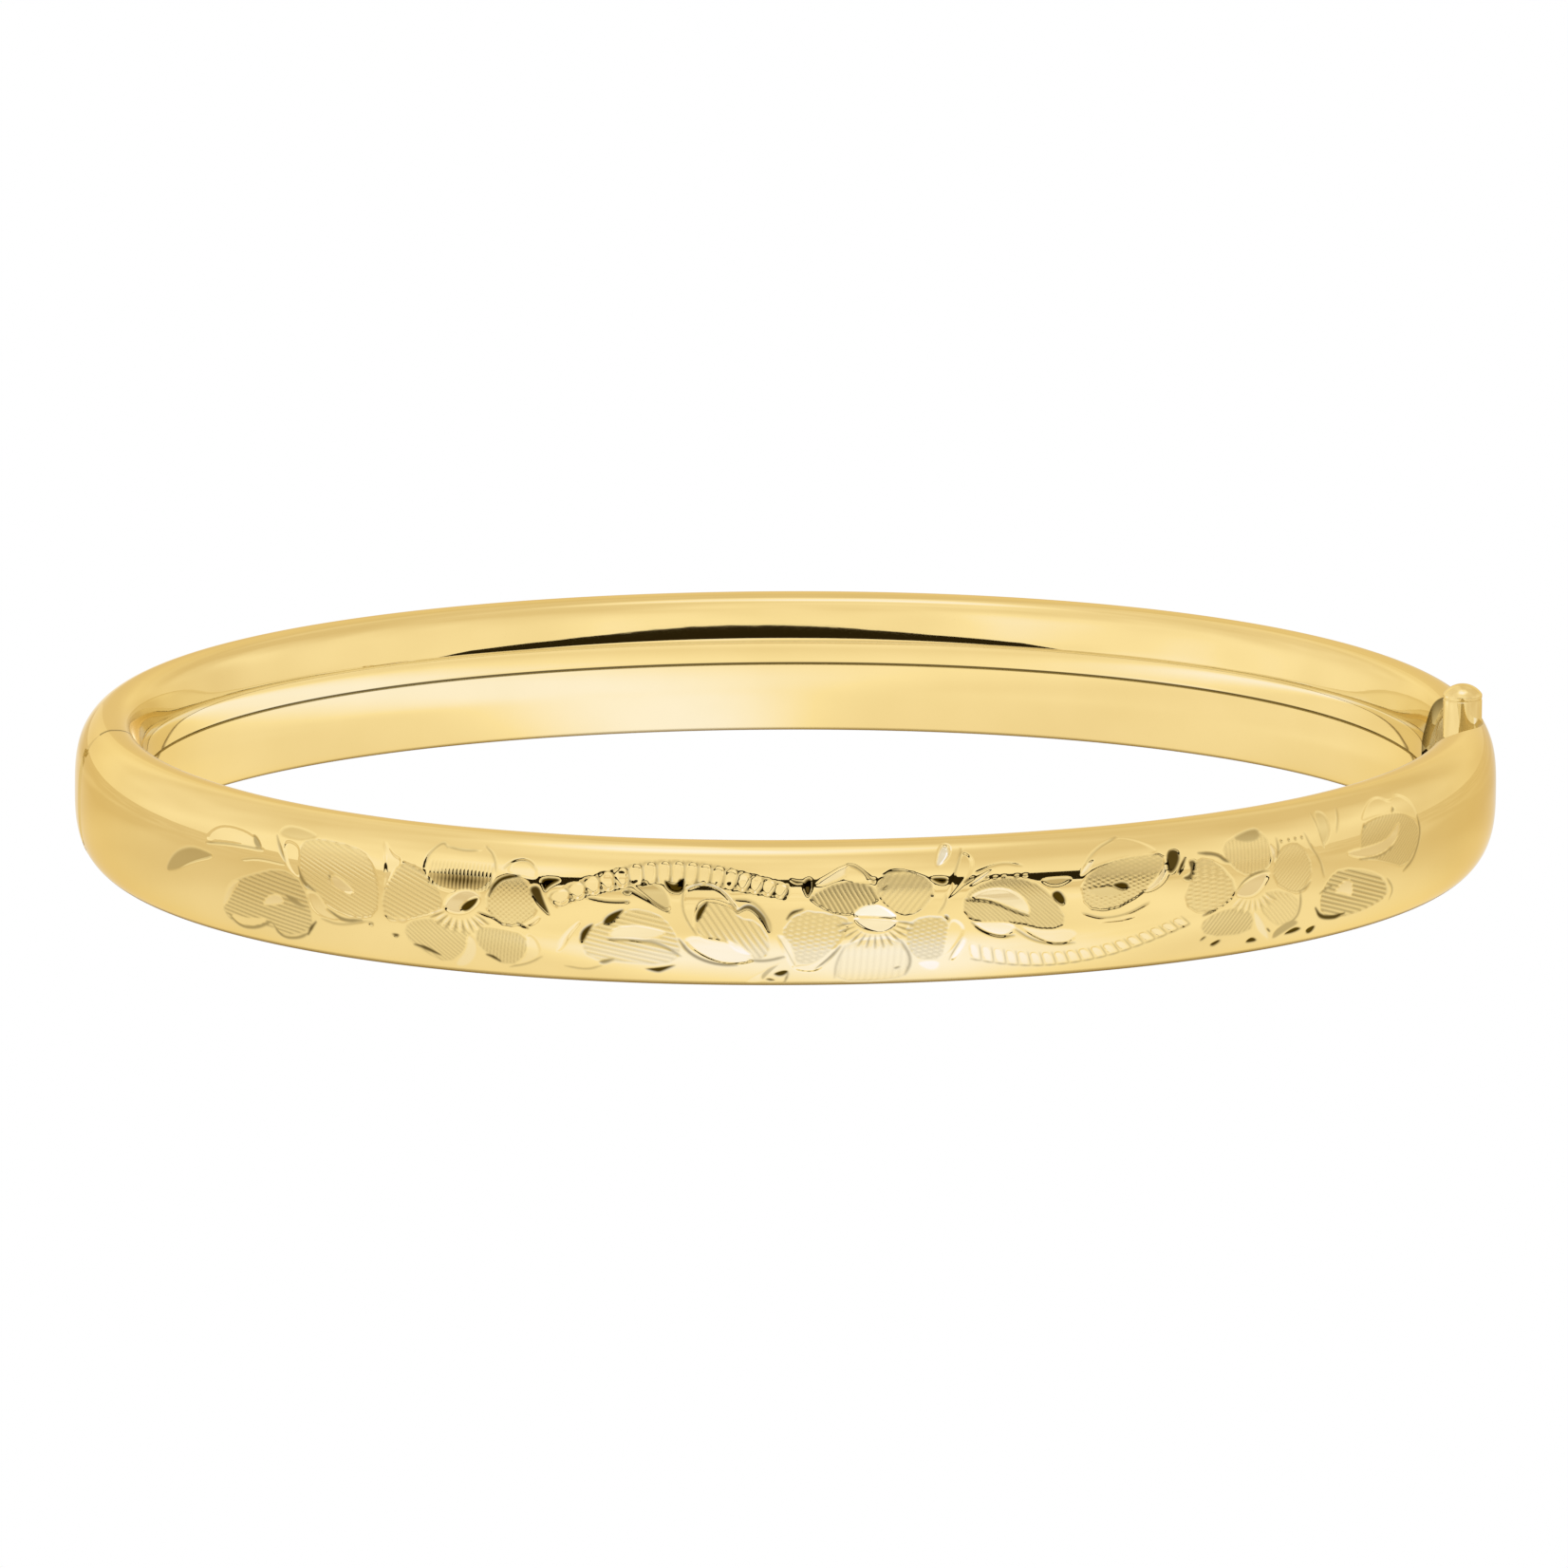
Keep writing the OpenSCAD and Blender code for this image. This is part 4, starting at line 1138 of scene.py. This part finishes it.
def floor_level(tree, place):
    """Level of the mirrored floor's light: bright pools behind and before the ring, shade to its sides."""
    axes = node(tree, "ShaderNodeSeparateXYZ", (-1400, 0))
    tree.links.new(place, axes.inputs["Vector"])
    x = math_of(tree, "DIVIDE", axes.outputs["X"], MM)
    y = math_of(tree, "DIVIDE", axes.outputs["Y"], MM)
    off_back = math_of(tree, "ABSOLUTE", total(tree, x, 2.0))
    off_front = math_of(tree, "ABSOLUTE", total(tree, x, 4.0))
    reach = math_of(tree, "SQRT", total(tree, product(tree, x, x), product(tree, y, y)))

    back_pool = product(tree, rest_of(tree, step_of(tree, off_back, 1.0, 10.0)), step_of(tree, y, 2.0, 14.0))
    front_pool = math_of(tree, "MULTIPLY_ADD", step_of(tree, off_front, 4.0, 20.0), -0.6, 1.05)
    in_front = rest_of(tree, step_of(tree, y, -29.0, -25.5))
    share = math_of(tree, "MULTIPLY_ADD", total(tree, front_pool, 0.1), in_front, -0.1)
    near = product(tree, rest_of(tree, step_of(tree, reach, 30.0, 39.0)), share)
    before = product(tree, step_of(tree, y, -31.0, -30.0), -0.1)
    sides = product(tree, step_of(tree, math_of(tree, "ABSOLUTE", x), 24.0, 44.0), -0.75)
    return total(tree, back_pool, before, near, sides, patches(tree, place, 55.0, 1.0))


def floors():
    """White floor for the camera, and the floor's uneven glow that the polished gold reflects, with a
    painted contact shadow where the band stands on it.
    """
    white, _, _ = glowing("white_floor")
    shown = sheet_below("floor", SHOWN_FLOOR, white)
    shown.visible_glossy = False
    shown.visible_diffuse = False

    glow, tree, colour = glowing("floor_glow")
    place = node(tree, "ShaderNodeTexCoord", (-1600, 0)).outputs["Object"]
    # Painted contact shadow: ambient occlusion darkens the floor's glow close under the band.
    shadow_occlusion = node(tree, "ShaderNodeAmbientOcclusion", (-500, 0), Distance=CONTACT_REACH * MM, samples=6)
    light = lighting_colour(tree, floor_level(tree, place))
    tree.links.new(mixed(tree, shadow_occlusion.outputs["AO"], PAINTED_CONTACT_SHADOW, light), colour)
    mirrored = sheet_below("floor_glow", MIRRORED_FLOOR, glow)
    mirrored.visible_camera = False


def tent_level(tree, place, rise, around):
    """Level of the tent's light: brightest overhead, shaded to the right and behind."""
    climb = product(tree, step_of(tree, rise, 14.0, 40.0), -0.4)
    overhead = product(tree, step_of(tree, rise, 66.0, 82.0), 1.1)
    right = product(tree, step_of(tree, around, 5.0, 40.0), -0.3)
    behind = product(tree, step_of(tree, math_of(tree, "ABSOLUTE", around), 75.0, 120.0), -0.25)
    return total(tree, climb, overhead, right, behind, patches(tree, place, 2.2, 1.2))


def tent_gap(tree, rise, around):
    """1 in the tent's dark gap, a low bowed strip in front whose ends flare downwards, and 0 elsewhere."""
    bowed = math_of(tree, "MULTIPLY_ADD", product(tree, around, around), GAP_BOW, rise)
    level_with = math_of(tree, "COMPARE", bowed, GAP_MIDDLE, GAP_HEIGHT / 2)
    off_middle = math_of(tree, "ABSOLUTE", total(tree, around, -GAP_TURN))
    flared = math_of(tree, "MULTIPLY_ADD", total(tree, bowed, -GAP_MIDDLE), GAP_FLARE, off_middle)
    return product(tree, level_with, math_of(tree, "LESS_THAN", flared, GAP_HALF))


def tent():
    """World of soft light, with a dark gap level with the camera."""
    world = bpy.data.worlds.new("tent")
    bpy.context.scene.world = world
    world.use_nodes = True
    tree = world.node_tree
    back = tree.nodes["Background"]
    place = node(tree, "ShaderNodeTexCoord", (-1600, 0)).outputs["Generated"]
    axes = node(tree, "ShaderNodeSeparateXYZ", (-1400, 0))
    tree.links.new(place, axes.inputs["Vector"])
    to_degrees = 180 / math.pi
    rise = product(tree, math_of(tree, "ARCSINE", axes.outputs["Z"]), to_degrees)
    ahead = product(tree, axes.outputs["Y"], -1.0)
    around = product(tree, math_of(tree, "ARCTAN2", axes.outputs["X"], ahead), to_degrees)
    light = lighting_colour(tree, tent_level(tree, place, rise, around))
    tree.links.new(mixed(tree, tent_gap(tree, rise, around), light, GAP_COLOUR), back.inputs["Color"])
    back.inputs["Strength"].default_value = 1.0


def camera():
    """The camera, where the ring looks as it does in the picture."""
    level = math.cos(VIEW_RISE)
    away = Vector((-level * math.sin(VIEW_SIDE), -level * math.cos(VIEW_SIDE), math.sin(VIEW_RISE)))
    made = bpy.data.objects.new("camera", bpy.data.cameras.new("camera"))
    bpy.context.scene.collection.objects.link(made)
    made.location = (away * VIEW_DISTANCE + Vector((0, 0, HALF_W))) * MM
    turned = (
        Matrix.Rotation(-VIEW_SIDE, 3, "Z")
        @ Matrix.Rotation(math.pi / 2 - VIEW_RISE, 3, "X")
        @ Matrix.Rotation(VIEW_ROLL, 3, "Z")
    )
    made.rotation_euler = turned.to_euler()
    made.data.lens = VIEW_LENS
    made.data.sensor_width = 36
    made.data.shift_x, made.data.shift_y = VIEW_SHIFT
    made.data.clip_start = 0.05
    made.data.clip_end = 10
    bpy.context.scene.camera = made
    bpy.context.scene.view_settings.view_transform = "Standard"


# ---------------------------------------------------------------- putting it together

front_gold = gold("polished_front_gold", YELLOW, 0.03, with_painted_light=True)
back_gold = gold("polished_back_gold", YELLOW, 0.03, with_painted_light=True)
satin_gold = gold("satin_plate_gold", PALE_YELLOW, 0.42, wear=1.0, bump=0.3)
spring_gold = gold("spring_leaf_gold", SPRING_YELLOW, 0.12, wear=0.8, bump=0.2)
pin_gold = gold("pin_gold", PIN_YELLOW, 0.14, wear=0.8, bump=0.2)
button_gold = gold("button_gold", YELLOW, 0.04, wear=0.6, bump=0.1)

front_band = band("front_band", front=True)
subtract(front_band, hinge_tools() + clasp_tools())
polish(front_band, front_gold)
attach(front_band, "front_half")
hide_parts("front_tube")

back_band = band("back_band", front=False)
subtract(back_band, hinge_tools())
polish(back_band, back_gold)
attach(back_band, "back_half")
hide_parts("back_tube")

barrel = button_barrel()
polish(barrel, button_gold)
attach(barrel, "catch")
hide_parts("button_barrel")

cap = button_cap()
polish(cap, button_gold)
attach(cap, "catch")
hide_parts("button_cap")

FINISHES = {
    satin_gold: [
        "back_hinge_cap",
        "front_hinge_cap",
        "back_end_plate",
        "mouth_plate",
        "guide_shelf",
        "bulkhead",
    ],
    spring_gold: ["spring_leaf", "tongue_blade", "button_stem"],
    pin_gold: ["upper_knuckle", "lower_knuckle", "middle_knuckle", "hinge_pin"],
}
for finish, nodes in FINISHES.items():
    for name in nodes:
        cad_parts[name].data.materials.clear()
        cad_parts[name].data.materials.append(finish)

floors()
tent()
camera()
